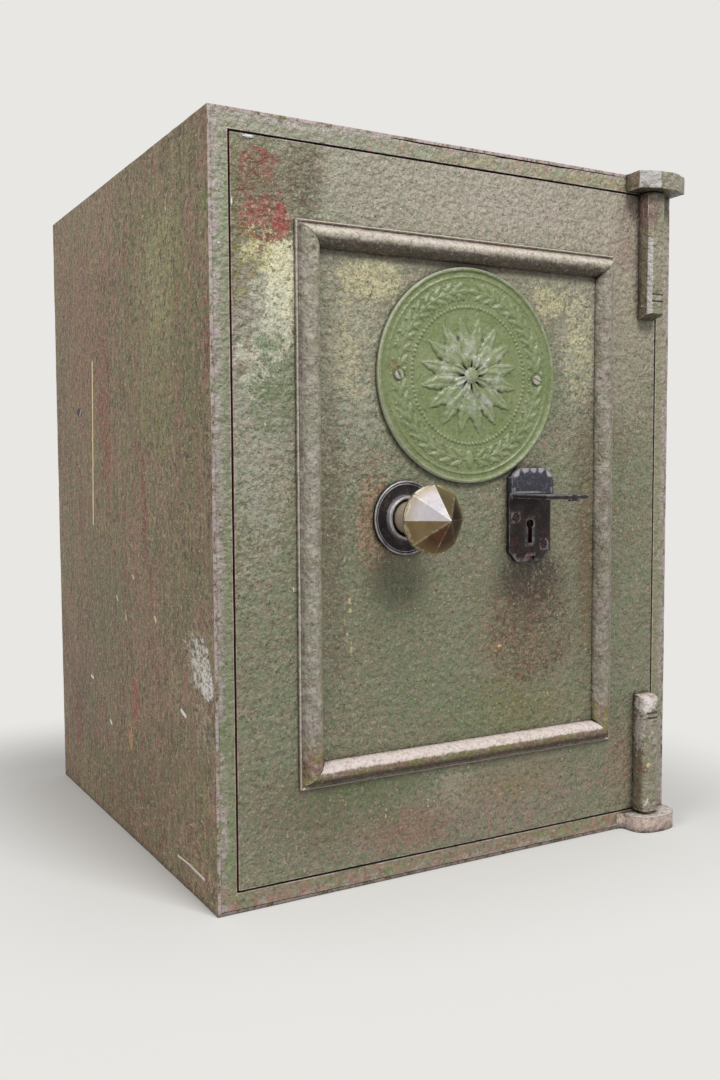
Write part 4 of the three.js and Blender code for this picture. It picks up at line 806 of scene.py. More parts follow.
def black_iron():
    """Japanned iron: brown-black and rusty below, bluish above, bare and bright on its edges."""
    look = Look("black_iron", 0.35, 0.3)
    look.ground((38, 31, 30), (56, 48, 47), look.grain(0.010, 4.0, 0.65, shift=100.0), 0.40, 0.62)
    high, low = look.step(look.z, 0.319, 0.323), look.step(look.z, 0.320, 0.300)
    look.coat((60, 61, 70), high, 0.85)
    scuffed = look.grain(0.0034, 4.0, 0.75, shift=101.0)
    look.coat((104, 106, 120), look.step(scuffed, 0.52, 0.64), high, 0.55)
    faces_up = look.step(look.rise, 0.4, 0.8)
    look.coat((156, 154, 162), faces_up, look.step(scuffed, 0.40, 0.55), 0.7)
    rust = look.grain(0.005, 4.0, 0.7, shift=102.0)
    look.coat((82, 46, 36), look.step(rust, 0.52, 0.64), low, 0.75)
    look.flecks(look.grain(0.0018, 3.0, 0.7, shift=104.0), 0.58, 0.70, 0.55, (108, 100, 100))
    for tint, centre, reach in IRON_SPOTS:
        torn = look.grain(0.004, 4.0, 0.65)
        torn = look.scaled(torn, SPOT_RAGGED * 2, look.from_centre(centre, reach))
        edge = 1 + SPOT_RAGGED
        look.coat(tint, look.step(torn, edge + SPOT_SOFT, edge - SPOT_SOFT), 0.85)
    look.edge_wear((176, 172, 180), 0.9)
    look.grime_and_painted_shade(0.006, (24, 18, 16), 0.85)
    rough = look.scaled(look.grain(0.004, 3.0, 0.6, shift=106.0), 0.35, 0.24)
    lumps = look.bump(look.grain(0.006, 3.0, 0.6, shift=108.0), 0.0008)
    return look.finish(rough, look.bump(look.grain(0.0016, 3.0, 0.6, shift=107.0), 0.00025, lumps))


def rose_iron():
    """Plated rose, worn grey on its rings and black with old paint in its hollows."""
    look = Look("rose_iron", 0.6, 0.5)
    look.ground((34, 32, 36), (52, 47, 48), look.grain(0.006, 4.0, 0.65, shift=110.0), 0.40, 0.62)
    look.flecks(look.grain(0.004, 4.0, 0.7, shift=112.0), 0.54, 0.64, 0.7, (78, 58, 46))
    look.flecks(look.grain(0.0020, 3.0, 0.7, shift=115.0), 0.58, 0.68, 0.60, (126, 122, 122))
    look.coat((140, 136, 138), look.painted("edge"), 0.75)
    look.edge_wear((184, 180, 182), 0.7)
    look.grime_and_painted_shade(0.003, (24, 20, 19), 0.8)
    rough = look.scaled(look.grain(0.003, 3.0, 0.6, shift=114.0), 0.35, 0.22)
    return look.finish(rough, look.bump(look.grain(0.0016, 3.0, 0.6, shift=116.0), 0.0002))


# Radii of the knob's neck, where its face ends and its rim begins
NECK, FACE, RIM = 0.0140, 0.0145, 0.0165
RIM_END = 0.0260


def antique_brass():
    """Handled brass, coloured by how its facets face: a painted highlight of silver where they face
    up and left, gold-olive at the side, and painted shade of brown underneath.
    """
    look = Look("antique_brass", 1.0, 0.5)
    low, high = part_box("knob")
    from_axis = look.vector("SUBTRACT", look.place, tuple((low + high) / 2))
    away = look.vector("LENGTH", look.vector("MULTIPLY", from_axis, (1.0, 0.0, 1.0)))
    cloud = look.grain(0.012, 3.0, 0.5, shift=120.0)
    # How far each facet faces up and left, towards the light: the colours below follow it as
    # painted light and shade
    lit = look.scaled(look.side, -0.75, look.math("MULTIPLY", look.rise, 0.65))
    lit = look.scaled(cloud, 0.16, lit)
    look.ground((76, 54, 40), (126, 110, 80), lit, -0.20, 0.40)
    look.coat((176, 171, 176), look.step(lit, 0.46, 0.66))
    rim = look.times(look.step(away, RIM, RIM_END), look.step(away, NECK, FACE))
    look.coat((126, 113, 79), rim, 0.62)
    red = look.step(cloud, 0.36, 0.66)
    # Painted shade: red-brown on the facets that face down
    look.coat((98, 58, 44), look.step(look.rise, -0.05, -0.40), red, 0.45)
    tarnish = look.grain(0.004, 5.0, 0.7, shift=122.0)
    look.flecks(tarnish, 0.46, 0.74, 0.25, (112, 98, 72))
    look.edge_wear((214, 204, 180), 0.6)
    # Painted highlight: the shaded neck made pale and less metallic, so that it looks lit
    neck = look.times(look.step(away, FACE, NECK), look.step(look.front, -0.30, -0.10))
    look.coat((186, 168, 140), neck, 0.8)
    look.put(look.scaled(neck, -0.6, 1.0), look.shader.inputs["Metallic"])
    look.grime_and_painted_shade(0.004, (70, 56, 42), 0.30)
    rough = look.scaled(rim, 0.22, look.scaled(tarnish, 0.22, 0.20))
    brushed = look.grain(0.0008, 2.0, 0.6, (6, 1, 1), 128.0)
    lumps = look.bump(look.grain(0.010, 2.0, 0.5, shift=127.0), 0.00012)
    return look.finish(rough, look.bump(brushed, 0.00002, lumps))


def filed_metal(name, metallic, shift, tones, stain, bright, corner_tint, rough):
    """Bare metal with upright file marks. The stain is (high, strength, tint)."""
    look = Look(name, metallic, 0.5)
    filed = look.grain(0.0012, 2.0, 0.6, (1, 1, 16), shift)
    look.ground(*tones, filed, 0.35, 0.65)
    look.flecks(look.grain(0.012, 5.0, 0.7, shift=shift + 2), 0.52, *stain)
    look.edge_wear(bright, 0.6)
    # Grime and painted shade in the corners, found by ambient occlusion
    look.grime_and_painted_shade(0.006, corner_tint, 0.7)
    return look.finish(look.scaled(filed, *rough), look.bump(filed, 0.00005))


def white_paint():
    look = Look("white_paint")
    dust = look.grain(0.0016, 3.0, 0.7, shift=170.0)
    look.ground((206, 206, 210), (232, 232, 236), dust, 0.45, 0.65)
    return look.finish(0.55, look.bump(dust, 0.0002))


def inner_paint():
    look = Look("inner_paint")
    cloud = look.grain(0.080, 5.0, 0.6, shift=150.0)
    look.ground((134, 120, 98), (152, 138, 114), cloud, 0.36, 0.66)
    look.flecks(look.grain(0.014, 5.0, 0.7, shift=152.0), 0.58, 0.70, 0.6, (106, 82, 60))
    look.flecks(look.grain(0.0018, 2.0, 0.7, shift=154.0), 0.64, 0.76, 0.35, (186, 174, 150))
    look.chips(0.0026, 0.72, 0.75, (84, 60, 46), 156.0)
    look.edge_wear((176, 166, 148), 0.8)
    look.grime_and_painted_shade(0.020, (70, 58, 44), 0.7)
    rough = look.scaled(look.grain(0.006, 3.0, 0.6, shift=158.0), 0.25, 0.50)
    pits = look.grain(0.0045, 3.0, 0.6, shift=6.0)
    return look.finish(rough, look.bump(pits, 0.00020, look.bump(cloud, 0.0006)))


def packing():
    look = Look("packing")
    lump = look.grain(0.006, 4.0, 0.7, shift=160.0)
    look.ground((168, 156, 128), (196, 184, 156), lump, 0.35, 0.65)
    return look.finish(look.scaled(lump, 0.1, 0.85), look.bump(lump, 0.0008))


LOOKS = {
    "door": door_paint(),
    "side": side_paint(),
    "frame": frame_paint(),
    "moulding": moulding_paint(),
    "plate": plate_paint(),
    "hinge": hinge_paint(),
    "iron": black_iron(),
    "rose": rose_iron(),
    "brass": antique_brass(),
    "steel": filed_metal(
        "worked_steel", 0.9, 130.0, ((112, 110, 106), (150, 148, 144)),
        (0.68, 0.65, (96, 74, 56)), (190, 188, 184), (44, 36, 30), (0.25, 0.32),
    ),
    "lock_brass": filed_metal(
        "lock_brass", 1.0, 140.0, ((158, 134, 82), (190, 166, 108)),
        (0.70, 0.6, (110, 84, 48)), (222, 204, 152), (60, 44, 24), (0.22, 0.28),
    ),
    "white": white_paint(),
    "inner": inner_paint(),
    "packing": packing(),
}


BODY_OF = {
    node: body
    for body, nodes in frame["record"]["behaviour"]["bodies"].items()
    for node in nodes
}


# Mesh helpers
def new_shape(*values):
    """An empty mesh whose points carry these values, all 0."""
    shape = bmesh.new()
    for name in values:
        shape.verts.layers.float.new(name)
    return shape


def add_piece(name, shape, look, node, replaced=True):
    """Puts a finished mesh in the scene, on the node's body and in its place if replaced."""
    mesh = bpy.data.meshes.new(name)
    shape.to_mesh(mesh)
    shape.free()
    mesh.materials.append(LOOKS[look])
    piece = bpy.data.objects.new(name, mesh)
    bpy.context.scene.collection.objects.link(piece)
    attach(piece, BODY_OF[node])
    if replaced:
        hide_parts(node)
    return piece


SAME_PLACE = 1e-6


def is_sharp(edge, angle):
    return edge.is_manifold and edge.calc_face_angle(0) > math.radians(angle)


EDGE_SPACING = 0.0015
LONG_EDGE = 0.04


def edge_points(edges):
    """Points along the edges, for finding what lies near them."""
    points = []
    for edge in edges:
        first, last = (v.co.copy() for v in edge.verts)
        count = max(1, int((last - first).length / EDGE_SPACING))
        points += [first.lerp(last, index / count) for index in range(count + 1)]
    tree = KDTree(len(points))
    for index, point in enumerate(points):
        tree.insert(point, index)
    tree.balance()
    return tree


def border_planes(edges, reach):
    """Places of cuts that run close beside the long straight edges, as (axis, value)."""
    planes = set()
    for edge in edges:
        first, last = (v.co for v in edge.verts)
        if (last - first).length < LONG_EDGE:
            continue
        for axis in range(3):
            if abs(first[axis] - last[axis]) < SAME_PLACE:
                planes |= {(axis, round(first[axis] + side * reach, 5)) for side in (-1, 1)}
    return planes


def slice_at(shape, axis, value):
    normal, point = Vector(), Vector()
    normal[axis], point[axis] = 1, value
    everything = list(shape.verts) + list(shape.edges) + list(shape.faces)
    bmesh.ops.bisect_plane(shape, geom=everything, plane_co=point, plane_no=normal, dist=SAME_PLACE)


def dice(shape, cell, borders):
    """Cuts a mesh along regular planes and the given border planes."""
    for axis in range(3):
        values = [v.co[axis] for v in shape.verts]
        low, high = min(values), max(values)
        count = max(1, int((high - low) / cell))
        places = [low + (high - low) * index / count for index in range(1, count)]
        near = [value for side, value in borders if side == axis and low < value < high]
        places = [v for v in places if all(abs(v - n) > cell / 4 for n in near)]
        for value in places + near:
            slice_at(shape, axis, value)


def mark_edges(shape, tree, reach):
    """Sets the edge attribute, from 1 on a sharp edge to 0 at this reach."""
    layer = shape.verts.layers.float.new("edge")
    for vert in shape.verts:
        distance = tree.find(vert.co)[2]
        vert[layer] = max(0.0, 1.0 - distance / reach)


CHIP_SIZE = 6


def batter(shape, waves, chipping):
    """Pushes points inward by smooth noise and chips the edges. Waves are (depth, lump size), and
    all of them are in millimetres."""
    shape.normal_update()
    layer = shape.verts.layers.float.get("edge")
    moves = []
    for vert in shape.verts:
        push = 0.0
        for number, (depth, size) in enumerate(waves):
            value = noise.noise(vert.co / (size * MM) + Vector((number * 7.3, 1.9, 4.7)))
            push += depth * MM * (0.5 + 0.5 * value)
        if chipping and vert[layer] > 0:
            value = noise.noise(vert.co / (CHIP_SIZE * MM) + Vector((3.1, 8.2, 5.5)))
            push += chipping * MM * vert[layer] * max(0.0, value + 0.1)
        moves.append((vert, vert.normal * -push))
    for vert, move in moves:
        vert.co += move


def cad_shape(node):
    """A working copy of a CAD node's mesh with its flat faces whole."""
    shape = bmesh.new()
    shape.from_mesh(frame["nodes"][node].data)
    bmesh.ops.remove_doubles(shape, verts=shape.verts, dist=SAME_PLACE)
    flat = math.radians(0.5)
    bmesh.ops.dissolve_limit(shape, angle_limit=flat, verts=shape.verts, edges=shape.edges)
    return shape


def shade(shape, sharp_angle=50):
    for face in shape.faces:
        face.smooth = True
    for edge in shape.edges:
        edge.smooth = not edge.is_manifold or edge.calc_face_angle(0) < math.radians(sharp_angle)


def even_shading(piece):
    piece.modifiers.new("even_shading", "WEIGHTED_NORMAL").keep_sharp = True


def dress(node, look, edge, cell=None, waves=(), chipping=0.0, segments=2, sharp_angle=25,
          wear=1.2, left_sharp=None, bend=None):
    """A worn copy of one CAD node: edges rounded, faces cut finely and beaten a little.
    Sizes are in millimetres. left_sharp says which edges stay as they are, and bend moves a
    point at the end."""
    shape = cad_shape(node)
    sharp = [e for e in shape.edges if is_sharp(e, sharp_angle)]
    if left_sharp:
        sharp = [e for e in sharp if not left_sharp(e)]
    tree = edge_points(sharp)
    borders = border_planes(sharp, wear * MM)
    bmesh.ops.bevel(
        shape, geom=sharp, offset=edge * MM, segments=segments, profile=0.6, affect="EDGES",
        clamp_overlap=True,
    )
    if cell:
        dice(shape, cell * MM, borders)
    mark_edges(shape, tree, wear * MM)
    batter(shape, waves, chipping)
    if bend:
        for vert in shape.verts:
            bend(vert)
    shade(shape)
    even_shading(add_piece(f"{node}_worn", shape, look, node))


def add_tube(shape, rings, capped=True):
    """Joins rings of points with faces; capped also fills the first and the last."""
    made = [[shape.verts.new(point) for point in ring] for ring in rings]
    for upper, lower in zip(made, made[1:]):
        for index in range(len(upper)):
            after = (index + 1) % len(upper)
            shape.faces.new((upper[index], upper[after], lower[after], lower[index]))
    if capped:
        shape.faces.new(made[0])
        shape.faces.new(list(reversed(made[-1])))
    return made


def face_outward(shape):
    bmesh.ops.recalc_face_normals(shape, faces=shape.faces)


def smooth_step(value, low, high):
    share = min(1.0, max(0.0, (value - low) / (high - low)))
    return share * share * (3 - 2 * share)


def round_ridge(distance, half_width):
    """A half-round ridge's height share at this distance from its crest."""
    share = distance / half_width
    return math.sqrt(1 - share * share) if abs(share) < 1 else 0.0


# The seam between skin and frame is full of paint, so its two edges stay sharp
SEAM_NEAR = 2.7 * MM
SEAM_FAR = 3.6 * MM
SEAM_MIDDLE = 3.15 * MM
SEAM_HALF = 0.30 * MM
SEAM_DEPTH = 1.5 * MM
SEAM_SUNK = 0.22 * MM
SEAM_BULGE, BULGE_SIZE = 0.12 * MM, 0.007
SEAM_CELL = 3 * MM


def on_seam(edge):
    def inset(point):
        low, high = point - SHELL_LOW, SHELL_HIGH - point
        return min(low.x, high.x, low.z, high.z)

    return all(SEAM_NEAR < inset(v.co) < SEAM_FAR for v in edge.verts)


# Rust has lifted the skin off the top of the frame along this stretch
LIFT_FROM, LIFT_TO = -0.075, 0.165
LIFT_DEPTH = 1.3 * MM
LIFT_WIDTH = SEAM_FAR + 1.5 * MM
LIFT_LUMP = 0.018


def lifted_skin(vert):
    """Lowers the outer top of the frame a little where the crack under the skin shows."""
    top = SHELL_HIGH.z - vert.co.z
    along = (vert.co.x - LIFT_FROM) / (LIFT_TO - LIFT_FROM)
    if top < LIFT_WIDTH and 0 < along < 1:
        ragged = 0.6 + 0.8 * noise.noise(Vector((vert.co.x / LIFT_LUMP, 0.3, 0.8)))
        vert.co.z -= LIFT_DEPTH * math.sin(math.pi * along) ** 0.6 * max(0.0, ragged)


def fill_seam():
    """Paint that fills the seam between skin and frame at the sides and the top's two ends."""
    left, right = SHELL_LOW.x + SEAM_MIDDLE, SHELL_HIGH.x - SEAM_MIDDLE
    low, high = SHELL_LOW.z + SEAM_MIDDLE, SHELL_HIGH.z - SEAM_MIDDLE
    runs = [
        ((left, low), (left, high), (1, 0)),
        ((left, high), (LIFT_FROM, high), (0, 1)),
        ((LIFT_TO, high), (right, high), (0, 1)),
        ((right, low), (right, high), (1, 0)),
    ]
    shape = new_shape("edge")
    for (x0, z0), (x1, z1), (across_x, across_z) in runs:
        count = int(max(abs(x1 - x0), abs(z1 - z0)) / SEAM_CELL)
        rings = []
        for index in range(count + 1):
            share = index / count
            x, z = x0 + (x1 - x0) * share, z0 + (z1 - z0) * share
            bulge = SEAM_BULGE * noise.noise(Vector((x, 0.2, z)) / BULGE_SIZE)
            outer = SEAM_SUNK + bulge
            rings.append([
                (x + across_x * reach, SHELL_LOW.y + depth, z + across_z * reach)
                for reach, depth in (
                    (-SEAM_HALF, SEAM_DEPTH), (-SEAM_HALF, outer),
                    (SEAM_HALF, outer), (SEAM_HALF, SEAM_DEPTH),
                )
            ])
        add_tube(shape, rings)
    face_outward(shape)
    shade(shape)
    add_piece("seam_paint", shape, "frame", "front_frame", replaced=False)


# Waves of a beaten surface, as (depth, lump size) in millimetres
SKIN_WAVES = ((0.35, 140), (0.2, 40))
BACK_WAVES = ((0.4, 120), (0.15, 40))
FRAME_WAVES = ((0.12, 60), (0.08, 18))
DOOR_WAVES = ((0.25, 60), (0.15, 16))
LUG_WAVES = ((0.25, 14), (0.15, 5))
POST_WAVES = ((0.25, 14), (0.12, 5))
IRON_WAVES = ((0.05, 9), (0.05, 3))

dress("outer_shell", "side", 0.5, 12, SKIN_WAVES, 0.5, left_sharp=on_seam)
dress("back_plate", "side", 0.5, 14, BACK_WAVES)
dress("front_frame", "frame", 0.45, 9, FRAME_WAVES, 0.4,
      left_sharp=on_seam, bend=lifted_skin)
fill_seam()
dress("door_plate", "door", 0.5, 8, DOOR_WAVES, 0.3)
for side in ("left", "right"):
    dress(f"round_plate_screw_{side}", "plate", 0.2, wear=0.5)
    dress(f"escutcheon_screw_{side}", "iron", 0.15, 0.8, wear=0.4)
dress("knob", "brass", 0.7, 2.0, segments=3, sharp_angle=18, wear=0.9)
dress("escutcheon_plate", "iron", 0.5, 4, IRON_WAVES, 0.4, wear=0.9)
dress("keyhole_cover", "iron", 0.4, 4, IRON_WAVES, 0.3, wear=0.8)
# Thrown, the bar's edge meets the wall of its case, so the copy is worn back from it
dress("bolt_bar", "steel", 0.3, 8, ((0.2, 30),), wear=0.8)
for level in ("upper", "lower"):
    dress(f"{level}_hinge_lug", "hinge", 1.0, 3, LUG_WAVES, 0.8, 3, wear=1.6)
    dress(f"{level}_hinge_post", "hinge", 0.7, 3, POST_WAVES, 0.7, 3, wear=1.3)


# The moulding's section, its quirk half full of paint: (distance in from its outer edge, height)
MOULDING_SECTION = [
    (0.0, 0.1), (0.0, 2.0), (0.4, 2.8), (1.1, 3.2), (1.9, 2.9), (2.5, 2.3), (3.2, 2.1), (3.8, 2.5),
    (4.2, 3.5), (4.9, 5.2), (5.9, 7.1), (7.3, 8.9), (9.2, 10.2), (11.2, 10.8), (13.2, 10.8),
    (15.2, 10.2), (17.0, 8.9), (18.5, 7.1), (19.6, 5.2), (20.4, 3.2), (20.8, 1.4), (20.9, 0.1),
]
CREST_FROM, CREST_TO = 0.3, 2.0
MOULDING_CELL = 4.0
MITRE_GAP = 0.05
MITRE_WEAR = 1.2
MOULDING_WAVES = ((0.20, 14), (0.14, 5))
MOULDING_CHIPS = 0.5


def make_moulding(end):
    """One strip swept along its side of the door and cut to its mitres."""
    low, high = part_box(f"moulding_{end}")
    run, across = (0, 2) if end in ("top", "bottom") else (2, 0)
    outer, inward = (high, -1) if end in ("top", "right") else (low, 1)
    middle = (low[run] + high[run]) / 2
    half = (high[run] - low[run]) / 2
    count = int(2 * half / (MOULDING_CELL * MM))
    last = 1 - MITRE_WEAR * MM / half
    shares = [-1, -last, *(2 * index / count - 1 for index in range(1, count)), last, 1]
    rings = []
    for share in shares:
        ring = []
        for inset, height in MOULDING_SECTION:
            point = [0.0, high.y - height * MM, 0.0]
            point[run] = middle + share * (half - (inset + MITRE_GAP) * MM)
            point[across] = outer[across] + inward * inset * MM
            ring.append(point)
        rings.append(ring)
    shape = new_shape("edge")
    edge = shape.verts.layers.float["edge"]
    made = add_tube(shape, rings)
    for ring in made:
        at_mitre = ring is made[0] or ring is made[-1]
        for vert, (inset, _) in zip(ring, MOULDING_SECTION):
            on_crest = CREST_FROM < inset < CREST_TO
            vert[edge] = 1.0 if on_crest else 0.5 if at_mitre else 0.0
    face_outward(shape)
    batter(shape, MOULDING_WAVES, MOULDING_CHIPS)
    shade(shape)
    name = f"moulding_{end}"
    even_shading(add_piece(f"{name}_swept", shape, "moulding", name))


for end in ("top", "bottom", "left", "right"):
    make_moulding(end)


# The round plate's ornament, in millimetres from its own centre: two laurel branches between
# a double rim and a ring of beads, and a rosette of long leaves and round petals
PLATE_RADIUS = 90.0
PLATE_FACE = 3.0
PLATE_BACK = 0.3
RIM_MIDDLE, RIM_HALF, RIM_HEIGHT = 88.3, 1.7, 1.75
LINE_MIDDLE, LINE_HALF, LINE_HEIGHT = 82.2, 1.0, 0.9
BEADS, BEAD_RING, BEAD_HALF, BEAD_HEIGHT = 96, 57.2, 1.5, 1.1
STEM_MIDDLE, STEM_HALF, STEM_HEIGHT = 70.3, 0.8, 1.0
SPRAY_PITCH, SPRAY_LEAN = 11.0, 32
LAUREL_LENGTH, LAUREL_HALF, LAUREL_HEIGHT = 12.5, 2.7, 1.7
BERRY_HALF, BERRY_HEIGHT, BERRY_AWAY = 1.2, 1.2, 6.8
BRANCH_START, BRANCH_END = 7.0, 212.0
TIE_LENGTH, TIE_WIDTH, TIE_HALF, TIE_HEIGHT = 1.3, 2.6, 3.0, 1.9
SCREW_REACH, SCREW_DROP, SCREW_CLEAR, SCREW_FADE = 70.6, 1.0, 7.0, 1.5
LONG_LEAVES = dict(count=16, start=14.0, length=35.0, half=6.2, height=2.1, ripples=5)
PETALS = dict(count=8, start=8.0, length=27.0, half=10.5, height=3.3, ripples=0)
SMALL_PETALS = dict(count=8, start=5.0, length=15.5, half=6.2, height=4.1, ripples=0)
BOSS_RADIUS, BOSS_HEIGHT = 7.5, 4.7
SEED_TURN, SEED_SPREAD, SEED_HALF, SEED_HEIGHT = 2.39996, 1.5, 0.95, 0.5
SEEDS = 22
RING_STEP = 0.6
SPOKES = 640
CORNER_UP = 0.4
CREST_LOW, CREST_HIGH = 0.5, 3.2


def leaf_height(u, v, length, half, height, ripples):
    """A leaf or petal from u = 0 to its length: pointed where it ripples, else round at its tip.
    v is the distance to the side of its middle line."""
    along = u / length
    if not 0 < along < 1:
        return 0.0
    if ripples:
        width = half * math.sin(math.pi * along ** 0.8) ** 0.7
        width *= 1 + 0.10 * math.cos(2 * math.pi * ripples * along)
    else:
        width = half * along ** 0.45 * (1 - along ** 7) ** 0.5
    if abs(v) >= width:
        return 0.0
    across = abs(v) / width
    body = math.sin(math.pi * (0.12 + 0.82 * along)) ** 0.6 * (1 - across ** 4) ** 0.5
    groove = 0.30 * math.exp(-((v / (0.16 * half)) ** 2)) * (1 - along)
    fold = 0.12 * math.cos(2 * math.pi * (across * 1.4 + along * 0.5))
    return height * max(0.0, body - groove + fold * body * (1 - across))


def laurel_leaf(u, v, lean):
    turned_u = u * math.cos(lean) + v * math.sin(lean)
    turned_v = v * math.cos(lean) - u * math.sin(lean)
    along = turned_u / LAUREL_LENGTH
    if not 0 < along < 1:
        return 0.0
    width = LAUREL_HALF * math.sin(math.pi * along ** 0.75) ** 0.75
    if abs(turned_v) >= width:
        return 0.0
    across = abs(turned_v) / width
    rib = 0.35 * math.exp(-((turned_v / 0.45) ** 2))
    body = LAUREL_HEIGHT * (0.35 + 0.5 * math.sin(math.pi * along)) * (1 - across ** 3) ** 0.5
    return body * (0.8 + rib)


def branch_height(radius, angle):
    """Two laurel branches that rise from the bottom of the plate and nearly meet at its top."""
    from_bottom = abs(math.remainder(angle + math.pi / 2, 2 * math.pi))
    run = from_bottom * STEM_MIDDLE
    off = radius - STEM_MIDDLE
    if run > BRANCH_END + LAUREL_LENGTH:
        return 0.0
    lean = math.radians(SPRAY_LEAN)
    height = STEM_HEIGHT * round_ridge(off, STEM_HALF) if run < BRANCH_END else 0.0
    nearest = math.floor((run - BRANCH_START) / SPRAY_PITCH)
    for number in (nearest - 1, nearest):
        start = BRANCH_START + number * SPRAY_PITCH
        if not BRANCH_START <= start <= BRANCH_END:
            continue
        for side in (-1, 1):
            height = max(height, laurel_leaf(run - start, off - side * STEM_HALF, side * lean))
            away = math.hypot(run - start - SPRAY_PITCH * 0.30, off - side * BERRY_AWAY)
            height = max(height, BERRY_HEIGHT * round_ridge(away, BERRY_HALF))
        height = max(height, 0.9 * laurel_leaf(run - start - SPRAY_PITCH / 2, off, 0.0))
    # A tied band where the branches cross
    tie = round_ridge(math.hypot(run / TIE_LENGTH, off / TIE_WIDTH), TIE_HALF)
    return max(height, TIE_HEIGHT * tie)


def rosette_height(radius, angle, x, z):
    height = 0.0
    for turn, row in ((0.5, LONG_LEAVES), (0.0, PETALS), (0.5, SMALL_PETALS)):
        share = 2 * math.pi / row["count"]
        nearest = (round(angle / share - turn) + turn) * share
        u = radius * math.cos(angle - nearest) - row["start"]
        v = radius * math.sin(angle - nearest)
        leaf = leaf_height(u, v, row["length"], row["half"], row["height"], row["ripples"])
        height = max(height, leaf)
    boss = BOSS_HEIGHT * round_ridge(radius, BOSS_RADIUS) ** 0.6
    if radius < BOSS_RADIUS:
        for number in range(SEEDS):
            seed_radius = SEED_SPREAD * math.sqrt(number)
            seed_x = seed_radius * math.cos(number * SEED_TURN)
            seed_z = seed_radius * math.sin(number * SEED_TURN)
            boss += SEED_HEIGHT * round_ridge(math.hypot(x - seed_x, z - seed_z), SEED_HALF)
    return max(height, min(boss, BOSS_HEIGHT))


def plate_height(radius, angle):
    x, z = radius * math.cos(angle), radius * math.sin(angle)
    height = RIM_HEIGHT * round_ridge(radius - RIM_MIDDLE, RIM_HALF)
    height = max(height, LINE_HEIGHT * round_ridge(radius - LINE_MIDDLE, LINE_HALF))
    bead_turn = 2 * math.pi / BEADS
    bead = round(angle / bead_turn) * bead_turn
    away = math.hypot(x - BEAD_RING * math.cos(bead), z - BEAD_RING * math.sin(bead))
    height = max(height, BEAD_HEIGHT * round_ridge(away, BEAD_HALF))
    if abs(radius - STEM_MIDDLE) < LINE_MIDDLE - LINE_HALF - STEM_MIDDLE:
        away = min(math.hypot(x - side * SCREW_REACH, z + SCREW_DROP) for side in (-1, 1))
        clear = smooth_step(away, SCREW_CLEAR - SCREW_FADE, SCREW_CLEAR)
        height = max(height, branch_height(radius, angle) * clear)
    if radius < BEAD_RING - BEAD_HALF:
        height = max(height, rosette_height(radius, angle, x, z))
    return height


def make_round_plate():
    low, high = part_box("round_plate")
    centre = (low + high) / 2

    def ring(radius, out):
        """A ring of points; out gives the height at an angle."""
        return [
            (
                centre.x + radius * MM * math.cos(angle),
                high.y - out(angle) * MM,
                centre.z + radius * MM * math.sin(angle),
            )
            for angle in angles
        ]

    angles = [2 * math.pi * index / SPOKES for index in range(SPOKES)]
    radii = [RING_STEP * (index + 0.5) for index in range(int(PLATE_RADIUS / RING_STEP))]
    rings = [ring(r, lambda angle: PLATE_FACE + plate_height(r, angle)) for r in radii]
    for out in (PLATE_FACE + CORNER_UP, PLATE_FACE / 2, PLATE_BACK):
        rings.append(ring(PLATE_RADIUS, lambda angle: out))
    shape = new_shape("crest", "edge")
    layers = shape.verts.layers.float
    made = add_tube(shape, rings)
    for vert in shape.verts:
        out = (high.y - vert.co.y) / MM - PLATE_FACE
        vert[layers["crest"]] = smooth_step(out, CREST_LOW, CREST_HIGH)
    for vert in made[-3] + made[-4]:
        vert[layers["edge"]] = 1.0
    face_outward(shape)
    shade(shape, 70)
    add_piece("round_plate_relief", shape, "plate", "round_plate")


make_round_plate()


# Bits of white paint stuck to the front: name, node that carries it, centre and half sizes
PAINT_BITS = [
    ("paint_bit_top", "door_plate", (-199.5, -228.4, 590.3), (5.2, 1.3, 1.7)),
    ("paint_bit_left", "door_plate", (-213.4, -228.3, 541.0), (0.9, 0.8, 3.2)),
    ("paint_bit_frame", "front_frame", (-223.8, -228.2, 510.0), (1.4, 0.6, 1.0)),
]


def make_paint_bits():
    for name, node, centre, halves in PAINT_BITS:
        shape = new_shape("edge")
        bmesh.ops.create_icosphere(shape, subdivisions=4, radius=1.0)
        for vert in shape.verts:
            lump = 0.75 + 0.45 * noise.noise(vert.co * 2.1 + Vector(centre))
            vert.co = Vector(c * MM + v * lump * h * MM for c, v, h in zip(centre, vert.co, halves))
        shade(shape)
        add_piece(name, shape, "white", node, replaced=False)


make_paint_bits()


# The rose behind the knob, turned: (radius, height) in millimetres
ROSE_PROFILE = [
    (15.2, 0.1), (30.4, 0.1), (30.8, 0.6), (30.8, 2.4), (30.5, 3.2), (29.9, 3.6), (29.3, 3.4),
    (28.9, 2.8), (28.6, 2.5), (28.3, 2.8), (27.9, 3.1), (27.5, 3.0), (27.2, 2.5), (26.8, 2.1),
    (19.6, 2.0), (19.0, 2.3), (18.6, 3.2), (18.3, 4.6), (17.8, 5.7), (17.0, 6.2), (16.2, 6.3),
    (15.6, 6.0), (15.2, 5.4),
]
ROSE_FLAT, ROSE_RING = 2.4, 3.3
ROSE_WEAR, ROSE_WEAR_SIZE, WORN_ABOVE = 0.12, 0.004, 2
ROSE_SPOKES = 128


